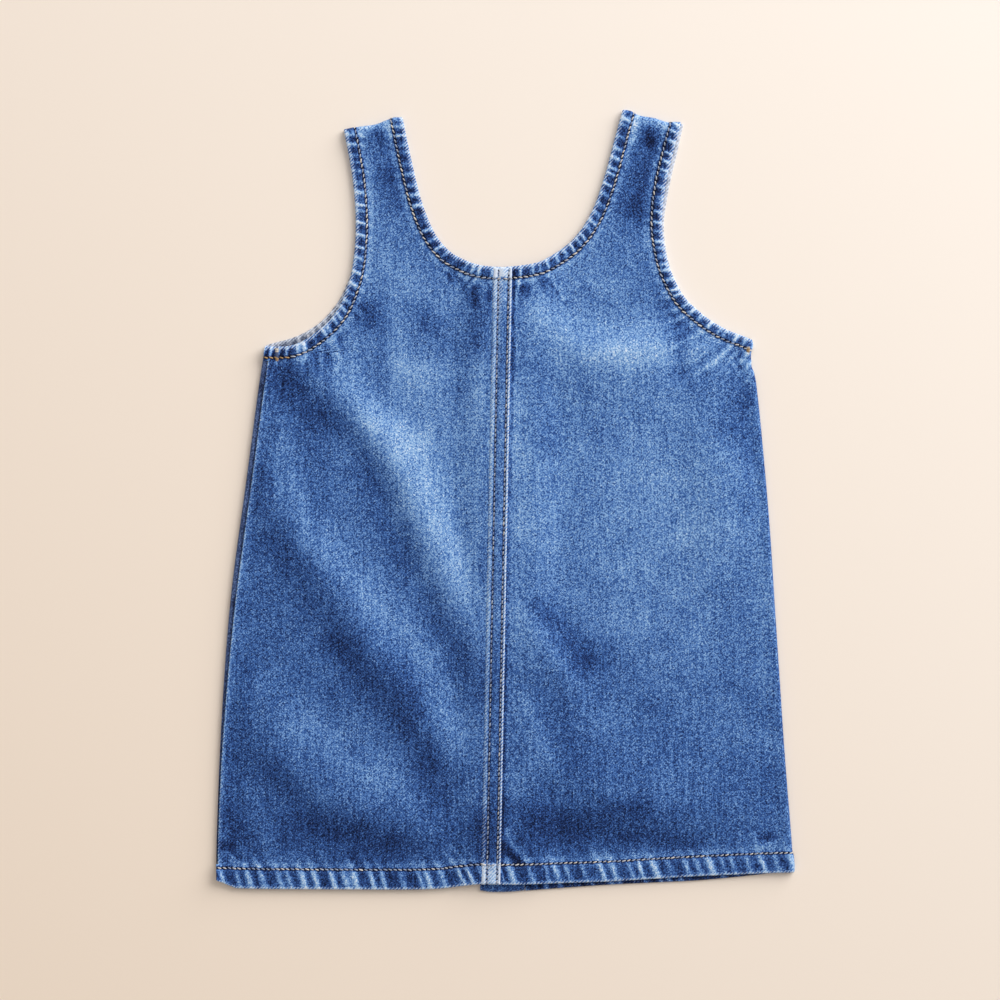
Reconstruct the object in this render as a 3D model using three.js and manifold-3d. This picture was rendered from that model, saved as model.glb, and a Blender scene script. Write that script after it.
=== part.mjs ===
// A child's denim pinafore dress, laid flat with its back uppermost and its buttoned front underneath.
// Sizes are in millimetres. +Z is up, +Y runs from the hem to the shoulders, and -X is the wearer's left.
// The two back panels meet in a felled centre seam, and the two front panels close with a button placket.
// Along the left side the front panel rolls up onto the back, and along the right side the back rolls under.

import * as THREE from "three";
import { mergeVertices } from "three/addons/utils/BufferGeometryUtils.js";
import Module from "manifold-3d";

const wasm = await Module();
wasm.setup();

// Driving sizes of the cloth, its hems and the gap between pieces
const CLOTH = 1.2;
const GAP = 0.3;
const TURNED_EXTRA = 0.7;
const HEM_DEPTH = 12.8;
const NECK_HEM = 6.6;
const ARMHOLE_HEM = 6.6;
const EDGE_ROLL = 0.25;
const EDGE_ROUND = 0.8;

// Driving sizes of the flat dress: how high the back lies, and how its sides and shoulders fold over
const BACK_REST = CLOTH + TURNED_EXTRA + GAP;
const FOLD_RISE = 0.8;
const FOLD_FADE = 14;
const FOLD_RADIUS = (BACK_REST + FOLD_RISE + CLOTH) / 2;
const FOLD_SKIN = 0.05;
const FOLD_LEG = 3;
const FOLD_STEPS = 6;
const LEFT_STRIP = 3.2;
const UNDERARM_Y = 99;
const UNDERARM_FADE = 25;
const SHOULDER_FLAT = FOLD_RADIUS + FOLD_LEG;

// Driving sizes of the button placket, which lies under the back
const PLACKET_WIDTH = 28.9;
const OVER_PLACKET = 2.8;
const UNDER_PLACKET = 1.2;
const UNDER_INSET = 1.5;
const UNDER_HEM_Y = -242.6;
const PLACKET_TOP_Y = 148.3;
const PLACKET_FADE = 24;
const PLACKET_LIFT_END = { y: 165, fade: 12 };
const BUTTON = { count: 6, radius: 7.5, thick: 1.5, sides: 28, spacing: 62, lowestY: -190 };
const FRONT_NECK_DROP = 1.6;

// Driving sizes of the felled seam that lies on the back
const FELL_WIDTH = 12.6;
const FELL_THICK = 1.0;
const FELL_ROUND = 0.35;

// How finely the panels are divided
const BACK_GRID = { bodyStep: 13.5, yokeStep: 11, leastStep: 2, columns: 11 };
const FRONT_GRID = { bodyStep: 25, yokeStep: 11, leastStep: 2, columns: 4 };
const EDGE_SAMPLE = 1;
const YOKE_Y = 97;
const END_FOLLOW = 60;
const FELL_ROWS = 27;
const HEM_STATION = 11;
const SIDE_STATIONS = 16;
const SHOULDER_STATIONS = [0.01, 0.25, 0.5, 0.75, 0.99];

// How much of each edge, from the centre outwards or from the underarm up, is turned
const TURNED = {
  neck: { from: 0.004, to: 0.98 },
  armhole: { from: 0.05, to: 0.98 },
  hem: { from: 0.004, to: 0.95 },
  frontHem: { from: 0.03, to: 0.95 },
};

// Where the folds of the back begin, from the hem up, and end, below the neck
const FOLD_ZONE = { hemY: -245, hemFade: 30, neckY: 150, neckFade: 40 };

// Lines that lean a little: the centre back seam, and the middle of the placket
const SEAM_LINE = { bottomX: -9.4, bottomY: -246.1, topX: -1.8, topY: 149.9 };
const PLACKET_LINE = { bottomX: -1.6, bottomY: -250, topX: 3.5, topY: 150 };

// Outlines of the back seen from above, from the hem up, and each hem from the left
const BACK_OUTLINE = {
  leftSide: [
    { x: -185.5, y: -241.7 },
    { x: -185.5, y: -217 },
    { x: -182.3, y: -140 },
    { x: -176.5, y: -63 },
    { x: -166.3, y: 14 },
    { x: -158.6, y: 72 },
    { x: -154.4, y: 99 },
  ],
  rightSide: [
    { x: 185.5, y: -238.6 },
    { x: 184.3, y: -217 },
    { x: 179.8, y: -160 },
    { x: 174.6, y: -82 },
    { x: 169.5, y: -6 },
    { x: 161.8, y: 72 },
    { x: 158.6, y: 101 },
  ],
  leftArmhole: [
    { x: -154.4, y: 99 },
    { x: -138, y: 102.2 },
    { x: -121, y: 110.5 },
    { x: -108.6, y: 121 },
    { x: -101.5, y: 134 },
    { x: -97.3, y: 150 },
    { x: -95.7, y: 176 },
    { x: -97.6, y: 206 },
    { x: -103.4, y: 238.6 },
  ],
  rightArmhole: [
    { x: 158.6, y: 101 },
    { x: 143.8, y: 109.5 },
    { x: 124.5, y: 122.9 },
    { x: 112, y: 137 },
    { x: 104, y: 155 },
    { x: 100.6, y: 177 },
    { x: 102.6, y: 200 },
    { x: 107.4, y: 222 },
    { x: 113, y: 242.4 },
  ],
  leftNeck: [
    { x: -1.8, y: 149.9 },
    { x: -16, y: 151.2 },
    { x: -27, y: 155.2 },
    { x: -37, y: 161.5 },
    { x: -46.4, y: 174 },
    { x: -54.5, y: 195 },
    { x: -61, y: 222 },
    { x: -66.1, y: 246.4 },
  ],
  rightNeck: [
    { x: -1.8, y: 149.9 },
    { x: 14.5, y: 151.6 },
    { x: 26, y: 155.2 },
    { x: 43.4, y: 167.5 },
    { x: 55.5, y: 185 },
    { x: 64, y: 208 },
    { x: 71.3, y: 235 },
    { x: 75.7, y: 250.6 },
  ],
  leftHem: [
    { x: -185.5, y: -241.7 },
    { x: -182, y: -245.4 },
    { x: -174.8, y: -248.2 },
    { x: -150, y: -249.3 },
    { x: -67.5, y: -249.7 },
    { x: -41.8, y: -249 },
    { x: -30, y: -247.5 },
    { x: -17.4, y: -246 },
    { x: -9.4, y: -246.1 },
  ],
  rightHem: [
    { x: -9.4, y: -246.1 },
    { x: 12.8, y: -246.1 },
    { x: 61, y: -244.7 },
    { x: 93, y: -242.9 },
    { x: 125, y: -241 },
    { x: 170, y: -239.1 },
    { x: 185.5, y: -238.6 },
  ],
};

// Where the front differs from the back: it shows a little below the hem and beyond the armholes.
const FRONT_OUTLINE = {
  leftHem: [
    { x: -183.4, y: -240.5 },
    { x: -172, y: -245 },
    { x: -110, y: -246.5 },
    { x: -50, y: -246 },
    { x: -30, y: -244 },
    { x: -16.4, y: -243 },
  ],
  rightHem: [
    { x: 13.2, y: -250.6 },
    { x: 61, y: -247.1 },
    { x: 97, y: -245.3 },
    { x: 125, y: -243.9 },
    { x: 163.9, y: -240.2 },
    { x: 180.1, y: -237.6 },
  ],
  placketHem: [
    { x: -16.1, y: -250.6 },
    { x: -9, y: -251.6 },
    { x: 3, y: -251.5 },
    { x: 12.9, y: -250.6 },
  ],
  leftArmhole: [
    { x: -154.4, y: 99.4 },
    { x: -139.5, y: 105.4 },
    { x: -122.6, y: 113.6 },
    { x: -110.6, y: 123.4 },
    { x: -102.6, y: 135.8 },
    { x: -97.8, y: 150 },
    { x: -96, y: 176 },
    { x: -97.8, y: 206 },
    { x: -103.4, y: 238.6 },
  ],
  rightArmhole: [
    { x: 155, y: 101 },
    { x: 143, y: 108.6 },
    { x: 124, y: 122 },
    { x: 112.4, y: 137 },
    { x: 104.8, y: 155 },
    { x: 102, y: 177 },
    { x: 105, y: 200 },
    { x: 110, y: 222 },
    { x: 114.6, y: 242.4 },
  ],
};

// Soft folds of the back: each crest goes through its points, falls off over its slopes and fades at its
// ends. None reaches the hem, the neck or the folded sides.
const FOLDS = [
  { name: "left upper", rise: 3.6, upSlope: 14, downSlope: 14,
    crest: [[-136, 92], [-98, 55], [-69, 20], [-47, -31], [-30, -74], [-19, -102]] },
  { name: "left middle", rise: 3.8, upSlope: 18, downSlope: 19,
    crest: [[-156, 14], [-128, -37], [-99, -77], [-71, -118], [-42, -160], [-30, -182]] },
  { name: "left lower", rise: 3.2, upSlope: 22, downSlope: 18,
    crest: [[-164, -137], [-133, -174], [-83, -201], [-48, -214]] },
  { name: "neck shelf", rise: 3.0, upSlope: 16, downSlope: 30,
    crest: [[26, 116], [45, 98], [72, 94], [112, 98]] },
  { name: "right upper", rise: 2.6, upSlope: 24, downSlope: 20,
    crest: [[132, 62], [138, 10], [132, -40]] },
  { name: "right middle", rise: 3.0, upSlope: 16, downSlope: 18,
    crest: [[12, -72], [28, -100], [44, -132]] },
  { name: "right lower", rise: 2.8, upSlope: 36, downSlope: 22,
    crest: [[10, -150], [38, -172], [92, -196], [152, -190]] },
];

const clamp01 = (t) => Math.min(1, Math.max(0, t));
const smooth = (t) => clamp01(t) ** 2 * (3 - 2 * clamp01(t));
const mix = (a, b, t) => a + (b - a) * t;
const curveThrough = (points) => new THREE.SplineCurve(points.map((p) => new THREE.Vector2(p.x, p.y)));
const movedX = (points, dx) => points.map((p) => ({ x: p.x + dx, y: p.y }));

// Where a leaning line is at height y.
const lineX = (line, y) => mix(line.bottomX, line.topX, (y - line.bottomY) / (line.topY - line.bottomY));

// A straight leaning line moved sideways, as a curve between two heights.
const lineCurve = (line, dx, fromY, toY) =>
  new THREE.LineCurve(
    new THREE.Vector2(lineX(line, fromY) + dx, fromY),
    new THREE.Vector2(lineX(line, toY) + dx, toY),
  );

// The folded edges as fine polylines, for asking where they are at a height.
const LEFT_EDGE = curveThrough(BACK_OUTLINE.leftSide).getSpacedPoints(120);
const RIGHT_EDGE = curveThrough(BACK_OUTLINE.rightSide).getSpacedPoints(120);
function edgeX(edge, y) {
  const after = edge.findIndex((p) => p.y >= y);
  if (after <= 0) return edge[after === 0 ? 0 : edge.length - 1].x;
  const [a, b] = [edge[after - 1], edge[after]];
  return mix(a.x, b.x, (y - a.y) / (b.y - a.y));
}

// How high the top edge of the strap is at x: a straight line between its two corners.
function strapTopY(x) {
  const sideName = x < 0 ? "left" : "right";
  const a = BACK_OUTLINE[`${sideName}Neck`].at(-1);
  const b = BACK_OUTLINE[`${sideName}Armhole`].at(-1);
  return mix(a.y, b.y, (x - a.x) / (b.x - a.x));
}

// How far a soft fold lifts the cloth: a bell across its crest that fades towards both ends.
function foldLift(fold, x, y) {
  let best = { distance: Infinity, side: 0, along: 0 };
  fold.crest.slice(1).forEach((end, i) => {
    const [ax, ay] = fold.crest[i];
    const [dx, dy] = [end[0] - ax, end[1] - ay];
    const t = clamp01(((x - ax) * dx + (y - ay) * dy) / (dx * dx + dy * dy));
    const [px, py] = [x - ax - t * dx, y - ay - t * dy];
    const distance = Math.hypot(px, py);
    if (distance < best.distance) {
      best = { distance, side: dx * py - dy * px, along: (i + t) / (fold.crest.length - 1) };
    }
  });
  const slope = best.side > 0 ? fold.upSlope : fold.downSlope;
  const fade = mix(0.4, 1, Math.sin(Math.PI * best.along));
  return fold.rise * fade * Math.exp(-((best.distance / slope) ** 2));
}

// The height of the back's lower face. It rests on the front, and it is lifted over the placket, at the
// folded sides and shoulders, and by its soft folds.
const OVER_CENTRE = OVER_PLACKET + GAP + UNDER_PLACKET + GAP - BACK_REST;
function backLow(x, y) {
  const fromSide = Math.min(x - edgeX(LEFT_EDGE, y), edgeX(RIGHT_EDGE, y) - x);
  const belowUnderarm = smooth((UNDERARM_Y + UNDERARM_FADE - y) / UNDERARM_FADE);
  const sideFold = (1 - smooth(fromSide / FOLD_FADE)) * belowUnderarm;
  const shoulderFold = 1 - smooth((strapTopY(x) - y - SHOULDER_FLAT) / FOLD_FADE);
  const fromPlacket = Math.abs(x - lineX(PLACKET_LINE, y)) - PLACKET_WIDTH / 2;
  const belowNeck = smooth((PLACKET_LIFT_END.y - y) / PLACKET_LIFT_END.fade);
  const centre = OVER_CENTRE * (1 - smooth(fromPlacket / PLACKET_FADE)) * belowNeck;
  const aboveHem = smooth((y - FOLD_ZONE.hemY) / FOLD_ZONE.hemFade);
  const inside = smooth(fromSide / FOLD_FADE) * aboveHem * smooth((FOLD_ZONE.neckY - y) / FOLD_ZONE.neckFade);
  const folds = FOLDS.reduce((sum, fold) => sum + foldLift(fold, x, y), 0) * inside;
  return BACK_REST + Math.hypot(centre, folds, FOLD_RISE * Math.max(sideFold, shoulderFold));
}

// The two faces of each layer of the dress.
const BACK_FACES = { low: backLow, high: (x, y) => backLow(x, y) + CLOTH };
const FRONT_FACES = { low: () => 0, high: () => CLOTH };

// A closed wall between two grids of points, the upper face and the lower face.
function wall(upper, lower) {
  const rows = upper.length;
  const columns = upper[0].length;
  const at = (layer, j, i) => (layer * rows + j) * columns + i;
  const index = [];
  const quad = (a, b, c, d) => index.push(a, b, c, a, c, d);
  for (let j = 0; j < rows - 1; j++) {
    for (let i = 0; i < columns - 1; i++) {
      quad(at(0, j, i), at(0, j, i + 1), at(0, j + 1, i + 1), at(0, j + 1, i));
      quad(at(1, j, i), at(1, j + 1, i), at(1, j + 1, i + 1), at(1, j, i + 1));
    }
    quad(at(0, j, 0), at(0, j + 1, 0), at(1, j + 1, 0), at(1, j, 0));
    const last = columns - 1;
    quad(at(0, j, last), at(1, j, last), at(1, j + 1, last), at(0, j + 1, last));
  }
  for (let i = 0; i < columns - 1; i++) {
    quad(at(0, 0, i), at(1, 0, i), at(1, 0, i + 1), at(0, 0, i + 1));
    const last = rows - 1;
    quad(at(0, last, i), at(0, last, i + 1), at(1, last, i + 1), at(1, last, i));
  }
  const positions = [...upper.flat(), ...lower.flat()].flatMap((p) => [p.x, p.y, p.z]);
  const geometry = new THREE.BufferGeometry();
  geometry.setAttribute("position", new THREE.Float32BufferAttribute(positions, 3));
  geometry.setIndex(index);
  return facingOut(geometry);
}

// Turns a closed geometry's faces outwards, by the sign of its volume.
function facingOut(geometry) {
  const position = geometry.getAttribute("position");
  const index = geometry.getIndex().array;
  const corner = (k) => new THREE.Vector3().fromBufferAttribute(position, index[k]);
  let volume = 0;
  for (let k = 0; k < index.length; k += 3) volume += corner(k).dot(corner(k + 1).cross(corner(k + 2)));
  if (volume < 0) {
    for (let k = 0; k < index.length; k += 3) [index[k], index[k + 1]] = [index[k + 1], index[k]];
  }
  return geometry;
}

// A closed geometry as a solid that can be joined or cut, and back again.
function solidOf(geometry) {
  const bare = geometry.clone();
  bare.deleteAttribute("normal");
  bare.deleteAttribute("uv");
  const merged = mergeVertices(bare, 1e-4);
  const triVerts = new Uint32Array(merged.index.array);
  const vertProperties = merged.attributes.position.array;
  return new wasm.Manifold(new wasm.Mesh({ numProp: 3, vertProperties, triVerts }));
}

function geometryOf(solid) {
  const { vertProperties, triVerts } = solid.getMesh();
  const geometry = new THREE.BufferGeometry();
  geometry.setAttribute("position", new THREE.Float32BufferAttribute(vertProperties, 3));
  geometry.setIndex(new THREE.BufferAttribute(triVerts, 1));
  return geometry;
}

const joined = (geometries) => geometryOf(geometries.map(solidOf).reduce((a, b) => a.add(b)));
const cutBy = (geometry, cutters) =>
  geometryOf(cutters.map(solidOf).reduce((a, b) => a.subtract(b), solidOf(geometry)));

// The edge of a panel on one side, from the hem up, as fine points whose heights always rise. The upper
// curve starts inset along its length, and ends short of the strap's fold.
function risingEdge(lowerCurve, upperCurve, inset, strapCut) {
  const fine = (curve, length) => curve.getSpacedPoints(Math.ceil(length / EDGE_SAMPLE));
  const kept = 1 - strapCut / upperCurve.getLength();
  const upper = fine(upperCurve, upperCurve.getLength());
  const lower = fine(lowerCurve, lowerCurve.getLength());
  const start = 1 + Math.ceil(inset / EDGE_SAMPLE);
  const points = [...lower, ...upper.slice(start, Math.floor(upper.length * kept))];
  points.push(upperCurve.getPointAt(kept));
  return points.filter((p, i) => i === 0 || p.y > Math.max(...points.slice(0, i).map((q) => q.y)));
}

// Heights of a panel's rows: evenly up the body, then wherever the neck or the armhole has gone on a step.
function rowHeights(inner, outer, { bodyStep, yokeStep, leastStep }) {
  const [low, high] = [mix(inner[0].y, outer[0].y, 0.5), mix(inner.at(-1).y, outer.at(-1).y, 0.5)];
  const bodyRows = Math.round((YOKE_Y - low) / bodyStep);
  const heights = Array.from({ length: bodyRows + 1 }, (_, j) => mix(low, YOKE_Y, j / bodyRows));
  const every = Math.round(yokeStep / EDGE_SAMPLE);
  const steps = [inner, outer].flatMap((edge) => edge.filter((p, i) => p.y > YOKE_Y && i % every === 0));
  const rising = steps.map((p) => p.y).filter((y) => y < high - leastStep).sort((a, b) => a - b);
  for (const y of rising) if (y - heights.at(-1) > leastStep) heights.push(y);
  return [...heights, high];
}

// Plan points of a panel in rows from its inner edge to its outer edge. Rows are level, except that the
// lowest follow the hem and the highest follow the end of the strap.
function panelPlan({ inner, outer, hem }, grid) {
  const heights = rowHeights(inner, outer, grid);
  const ends = (edge) => ({ low: edge[0].y - heights[0], high: edge.at(-1).y - heights.at(-1) });
  const point = (edge, height) => {
    const lift = ends(edge);
    const hemShare = 1 - smooth((height - heights[0]) / END_FOLLOW);
    const strapShare = 1 - smooth((heights.at(-1) - height) / END_FOLLOW);
    const y = height + lift.low * hemShare + lift.high * strapShare;
    return new THREE.Vector2(edgeX(edge, y), y);
  };
  const first = [inner[0], outer[0]];
  return heights.map((height) => {
    const [from, to] = [point(inner, height), point(outer, height)];
    const follow = 1 - smooth((height - heights[0]) / END_FOLLOW);
    return Array.from({ length: grid.columns + 1 }, (_, i) => {
      const t = i / grid.columns;
      const bend = hem.getPointAt(t).sub(first[0].clone().lerp(first[1], t));
      return from.clone().lerp(to, t).add(bend.multiplyScalar(follow));
    });
  });
}

// A turned edge: a thicker rib along part of a curve, rolled a little past the cloth's edge.
// Inwards is to the left of the curve where turn is 1, and to its right where it is -1.
function turnedEdge({ curve, depth, turn, from, to }, faces) {
  const count = Math.max(3, Math.round((curve.getLength() * (to - from)) / HEM_STATION));
  const section = [
    { offset: -EDGE_ROLL, proud: TURNED_EXTRA - EDGE_ROUND / 2 },
    { offset: EDGE_ROUND, proud: TURNED_EXTRA },
    { offset: depth - EDGE_ROUND, proud: TURNED_EXTRA },
    { offset: depth, proud: -GAP / 2 },
  ];
  const stations = Array.from({ length: count + 1 }, (_, k) => mix(from, to, k / count));
  const plan = stations.map((share) => {
    const at = curve.getPointAt(share);
    const along = curve.getTangentAt(share);
    const place = (offset) => ({ x: at.x - turn * along.y * offset, y: at.y + turn * along.x * offset });
    return section.map(({ offset, proud }) => ({ ...place(offset), proud }));
  });
  const upper = plan.map((row) => row.map(({ x, y, proud }) => ({ x, y, z: faces.high(x, y) + proud })));
  const lower = plan.map((row) => row.map(({ x, y }) => ({ x, y, z: faces.low(x, y) + GAP })));
  return wall(upper, lower);
}

// A panel of cloth with the ribs of its turned edges, and any roll that it ends in.
function panel(plan, faces, edges, rolls) {
  const face = (height) => plan.map((row) => row.map(({ x, y }) => ({ x, y, z: height(x, y) })));
  const ribs = edges.map((edge) => turnedEdge(edge, faces));
  return joined([wall(face(faces.high), face(faces.low)), ...ribs, ...rolls]);
}

// A roll of cloth from one layer round to the other: half a tube with a flat leg above and below. Each
// station has the middle of the tube in plan and the way out of the fold.
function roll(stations, { low, high, topLeg, bottomLeg }) {
  const outer = (high - low) / 2;
  const inner = outer - CLOTH + 2 * FOLD_SKIN;
  const ring = (radius) => {
    const arc = Array.from({ length: FOLD_STEPS + 1 }, (_, k) => Math.PI * (0.5 - k / FOLD_STEPS));
    const round = arc.map((angle) => ({ out: radius * Math.cos(angle), up: radius * Math.sin(angle) }));
    return [{ out: -topLeg, up: radius }, ...round, { out: -bottomLeg, up: -radius }];
  };
  const swept = (radius) =>
    stations.map(({ at, out }) =>
      ring(radius).map((p) => ({ x: at.x + out.x * p.out, y: at.y + out.y * p.out, z: low + outer + p.up })),
    );
  return wall(swept(outer), swept(inner));
}

// Stations of a roll along a folded side, whose edge is the outside of the roll.
function sideStations(points, outX) {
  const curve = curveThrough(points);
  return Array.from({ length: SIDE_STATIONS + 1 }, (_, k) => {
    const at = curve.getPointAt(mix(0.004, 0.99, k / SIDE_STATIONS));
    return { at: at.clone().setX(at.x - outX * FOLD_RADIUS), out: new THREE.Vector2(outX, 0) };
  });
}

// Stations of the roll over a shoulder, along the last row of a panel's plan.
function shoulderStations(row) {
  const along = row.at(-1).clone().sub(row[0]).normalize();
  const out = new THREE.Vector2(-along.y, along.x).multiplyScalar(along.x > 0 ? 1 : -1);
  return SHOULDER_STATIONS.map((t) => ({ at: row[0].clone().lerp(row.at(-1), t), out }));
}

// The two halves of the back. The left half stops short of the strip of front that shows there, and the
// right half rolls under the dress. Both roll over the shoulders.
function backPanel(sideName) {
  const left = sideName === "left";
  const outX = left ? -1 : 1;
  const sideInset = left ? LEFT_STRIP + GAP : FOLD_RADIUS;
  const [seamNeck, ...restOfNeck] = BACK_OUTLINE[`${sideName}Neck`];
  const neck = curveThrough([...movedX([seamNeck], (outX * GAP) / 2), ...restOfNeck]);
  const armhole = curveThrough(BACK_OUTLINE[`${sideName}Armhole`]);
  const hemPoints = BACK_OUTLINE[`${sideName}Hem`];
  const [seamHem, ...restOfHem] = left ? [...hemPoints].reverse() : hemPoints;
  const between = restOfHem.slice(0, left ? -2 : -1);
  const corner = movedX(restOfHem.slice(-1), -outX * sideInset);
  const hem = curveThrough([...movedX([seamHem], (outX * GAP) / 2), ...between, ...corner]);
  const side = curveThrough(movedX(BACK_OUTLINE[`${sideName}Side`], -outX * sideInset));
  const centre = lineCurve(SEAM_LINE, (outX * GAP) / 2, SEAM_LINE.bottomY, SEAM_LINE.topY);
  const inner = risingEdge(centre, neck, 0, FOLD_RADIUS);
  const outer = risingEdge(side, armhole, sideInset, FOLD_RADIUS);
  const plan = panelPlan({ inner, outer, hem }, BACK_GRID);
  const edges = [
    { curve: neck, depth: NECK_HEM, turn: -outX, ...TURNED.neck },
    { curve: armhole, depth: ARMHOLE_HEM, turn: outX, ...TURNED.armhole },
    { curve: hem, depth: HEM_DEPTH, turn: outX, ...TURNED.hem },
  ];
  const high = BACK_REST + FOLD_RISE + CLOTH - FOLD_SKIN;
  const heights = { low: 0, high, topLeg: FOLD_LEG, bottomLeg: FOLD_LEG };
  const rolls = [roll(shoulderStations(plan.at(-1)), heights)];
  if (!left) rolls.push(roll(sideStations(BACK_OUTLINE.rightSide, outX), heights));
  return panel(plan, BACK_FACES, edges, rolls);
}

// The two halves of the front, which lie flat. The left half rolls up onto the top of the dress.
function frontPanel(sideName) {
  const left = sideName === "left";
  const outX = left ? -1 : 1;
  const hiddenEnd = FOLD_RADIUS + FOLD_LEG + GAP;
  const sideInset = left ? FOLD_RADIUS : hiddenEnd;
  const fromCentre = outX * (PLACKET_WIDTH / 2 + GAP);
  const neckStart = { x: lineX(PLACKET_LINE, PLACKET_TOP_Y) + fromCentre, y: PLACKET_TOP_Y };
  const neckRest = BACK_OUTLINE[`${sideName}Neck`].filter((p) => outX * (p.x - neckStart.x) > 3);
  const neck = curveThrough([neckStart, ...neckRest.map((p) => ({ x: p.x, y: p.y - FRONT_NECK_DROP }))]);
  const armhole = curveThrough(FRONT_OUTLINE[`${sideName}Armhole`]);
  const hemPoints = FRONT_OUTLINE[`${sideName}Hem`];
  const hem = curveThrough(left ? [...hemPoints].reverse() : hemPoints);
  const side = curveThrough(movedX(BACK_OUTLINE[`${sideName}Side`], -outX * sideInset));
  const hemY = hemPoints.at(left ? -1 : 0).y;
  const centre = lineCurve(PLACKET_LINE, fromCentre, hemY, PLACKET_TOP_Y);
  const inner = risingEdge(centre, neck, 0, hiddenEnd);
  const outer = risingEdge(side, armhole, sideInset, hiddenEnd);
  const plan = panelPlan({ inner, outer, hem }, FRONT_GRID);
  const strapShare = (curve) => 1 - (hiddenEnd + EDGE_ROUND) / curve.getLength();
  const edges = [
    { curve: neck, depth: NECK_HEM, turn: -outX, from: TURNED.neck.from, to: strapShare(neck) },
    { curve: armhole, depth: ARMHOLE_HEM, turn: outX, from: TURNED.armhole.from, to: strapShare(armhole) },
    { curve: hem, depth: HEM_DEPTH, turn: outX, ...TURNED.frontHem },
  ];
  const top = BACK_REST + FOLD_RISE + CLOTH;
  const heights = { low: FOLD_SKIN, high: top, topLeg: LEFT_STRIP - FOLD_RADIUS, bottomLeg: FOLD_LEG };
  const rolls = left ? [roll(sideStations(BACK_OUTLINE.leftSide, outX), heights)] : [];
  return panel(plan, FRONT_FACES, edges, rolls);
}

// The felled seam: a lapped band down the centre back, made from the back's points, moved out.
function fell() {
  const rows = FELL_ROWS;
  const across = [-0.5, -0.5 + EDGE_ROUND / FELL_WIDTH, 0, 0.5 - EDGE_ROUND / FELL_WIDTH, 0.5];
  const point = (j, share, proud) => {
    const onLine = mix(SEAM_LINE.bottomY, SEAM_LINE.topY, j / rows);
    const x = lineX(SEAM_LINE, onLine) + share * FELL_WIDTH;
    const turned = Math.max(
      1 - smooth((onLine - SEAM_LINE.bottomY - HEM_DEPTH) / HEM_DEPTH),
      1 - smooth((SEAM_LINE.topY - onLine - NECK_HEM) / HEM_DEPTH),
    );
    return { x, y: onLine, z: BACK_FACES.high(x, onLine) + GAP + TURNED_EXTRA * turned + proud };
  };
  const rounded = (share) => FELL_THICK - (Math.abs(share) === 0.5 ? FELL_ROUND : 0);
  const face = (proud) =>
    Array.from({ length: rows + 1 }, (_, j) => across.map((share) => point(j, share, proud(share))));
  return wall(face(rounded), face(() => 0));
}

// A flat band of the placket, from a lower edge up to the front's neck.
function band(bottom, halfWidth, low, thick) {
  const columns = 6;
  const row = (y) => (z) =>
    Array.from({ length: columns + 1 }, (_, i) => {
      const height = y(i / columns);
      return { x: lineX(PLACKET_LINE, height) + mix(-halfWidth, halfWidth, i / columns), y: height, z };
    });
  const rows = [row(bottom), row(() => PLACKET_TOP_Y)];
  const face = (z) => rows.map((make) => make(z));
  return wall(face(low + thick), face(low));
}

// A button or the recess it sits in: a disc with its axis upright, from the table up.
function disc(index, radius, thick) {
  const y = BUTTON.lowestY + index * BUTTON.spacing;
  const geometry = new THREE.CylinderGeometry(radius, radius, thick, BUTTON.sides).rotateX(Math.PI / 2);
  return geometry.translate(lineX(PLACKET_LINE, y), y, thick / 2);
}

// The outer band of the placket, with a shallow recess under it for each button. The cutters reach as
// far below the table as above it.
function placketOver() {
  const depth = BUTTON.thick + GAP;
  const hem = curveThrough(FRONT_OUTLINE.placketHem);
  const flat = band((t) => hem.getPointAt(t).y, PLACKET_WIDTH / 2, 0, OVER_PLACKET);
  const recess = (_, i) => disc(i, BUTTON.radius + GAP, 2 * depth).translate(0, 0, -depth);
  return cutBy(flat, Array.from({ length: BUTTON.count }, recess));
}

// The inner band of the placket, a little narrower, which lies on the outer one.
const placketUnder = () =>
  band(() => UNDER_HEM_Y, PLACKET_WIDTH / 2 - UNDER_INSET, OVER_PLACKET + GAP, UNDER_PLACKET);

// Materials: washed denim, which is paler on the back than under it, and dull metal buttons.
const denim = (color) => new THREE.MeshStandardMaterial({ color, roughness: 0.95, metalness: 0 });
const agedMetal = () => new THREE.MeshStandardMaterial({ color: 0x9b8a6a, roughness: 0.45, metalness: 0.9 });

function piece(name, geometry, material) {
  geometry.computeVertexNormals();
  const mesh = new THREE.Mesh(geometry, material);
  mesh.name = name;
  return mesh;
}

const dress = new THREE.Group();
dress.add(
  piece("back_left", backPanel("left"), denim(0x5f86b8)),
  piece("back_right", backPanel("right"), denim(0x668cbd)),
  piece("back_seam", fell(), denim(0x7396c4)),
  piece("front_left", frontPanel("left"), denim(0x52749f)),
  piece("front_right", frontPanel("right"), denim(0x52749f)),
  piece("placket_over", placketOver(), denim(0x5a7ca8)),
  piece("placket_under", placketUnder(), denim(0x5a7ca8)),
);
for (let i = 0; i < BUTTON.count; i++) {
  dress.add(piece(`button_${i + 1}`, disc(i, BUTTON.radius, BUTTON.thick), agedMetal()));
}

// The origin is under the middle of the dress, on the table.
const extent = new THREE.Box3().setFromObject(dress);
const middle = extent.getCenter(new THREE.Vector3());
dress.position.set(-middle.x, -middle.y, -extent.min.z);

export default dress;
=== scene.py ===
# %% [markdown]
# # A child's denim pinafore, laid flat
#
# The dress lies on a table with its back uppermost. Its two back panels meet in a felled seam, its neck,
# armholes and hem are turned and stitched, and the front with its button placket lies underneath. Sizes are
# in millimetres until a mesh is made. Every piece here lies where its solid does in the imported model.

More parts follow.
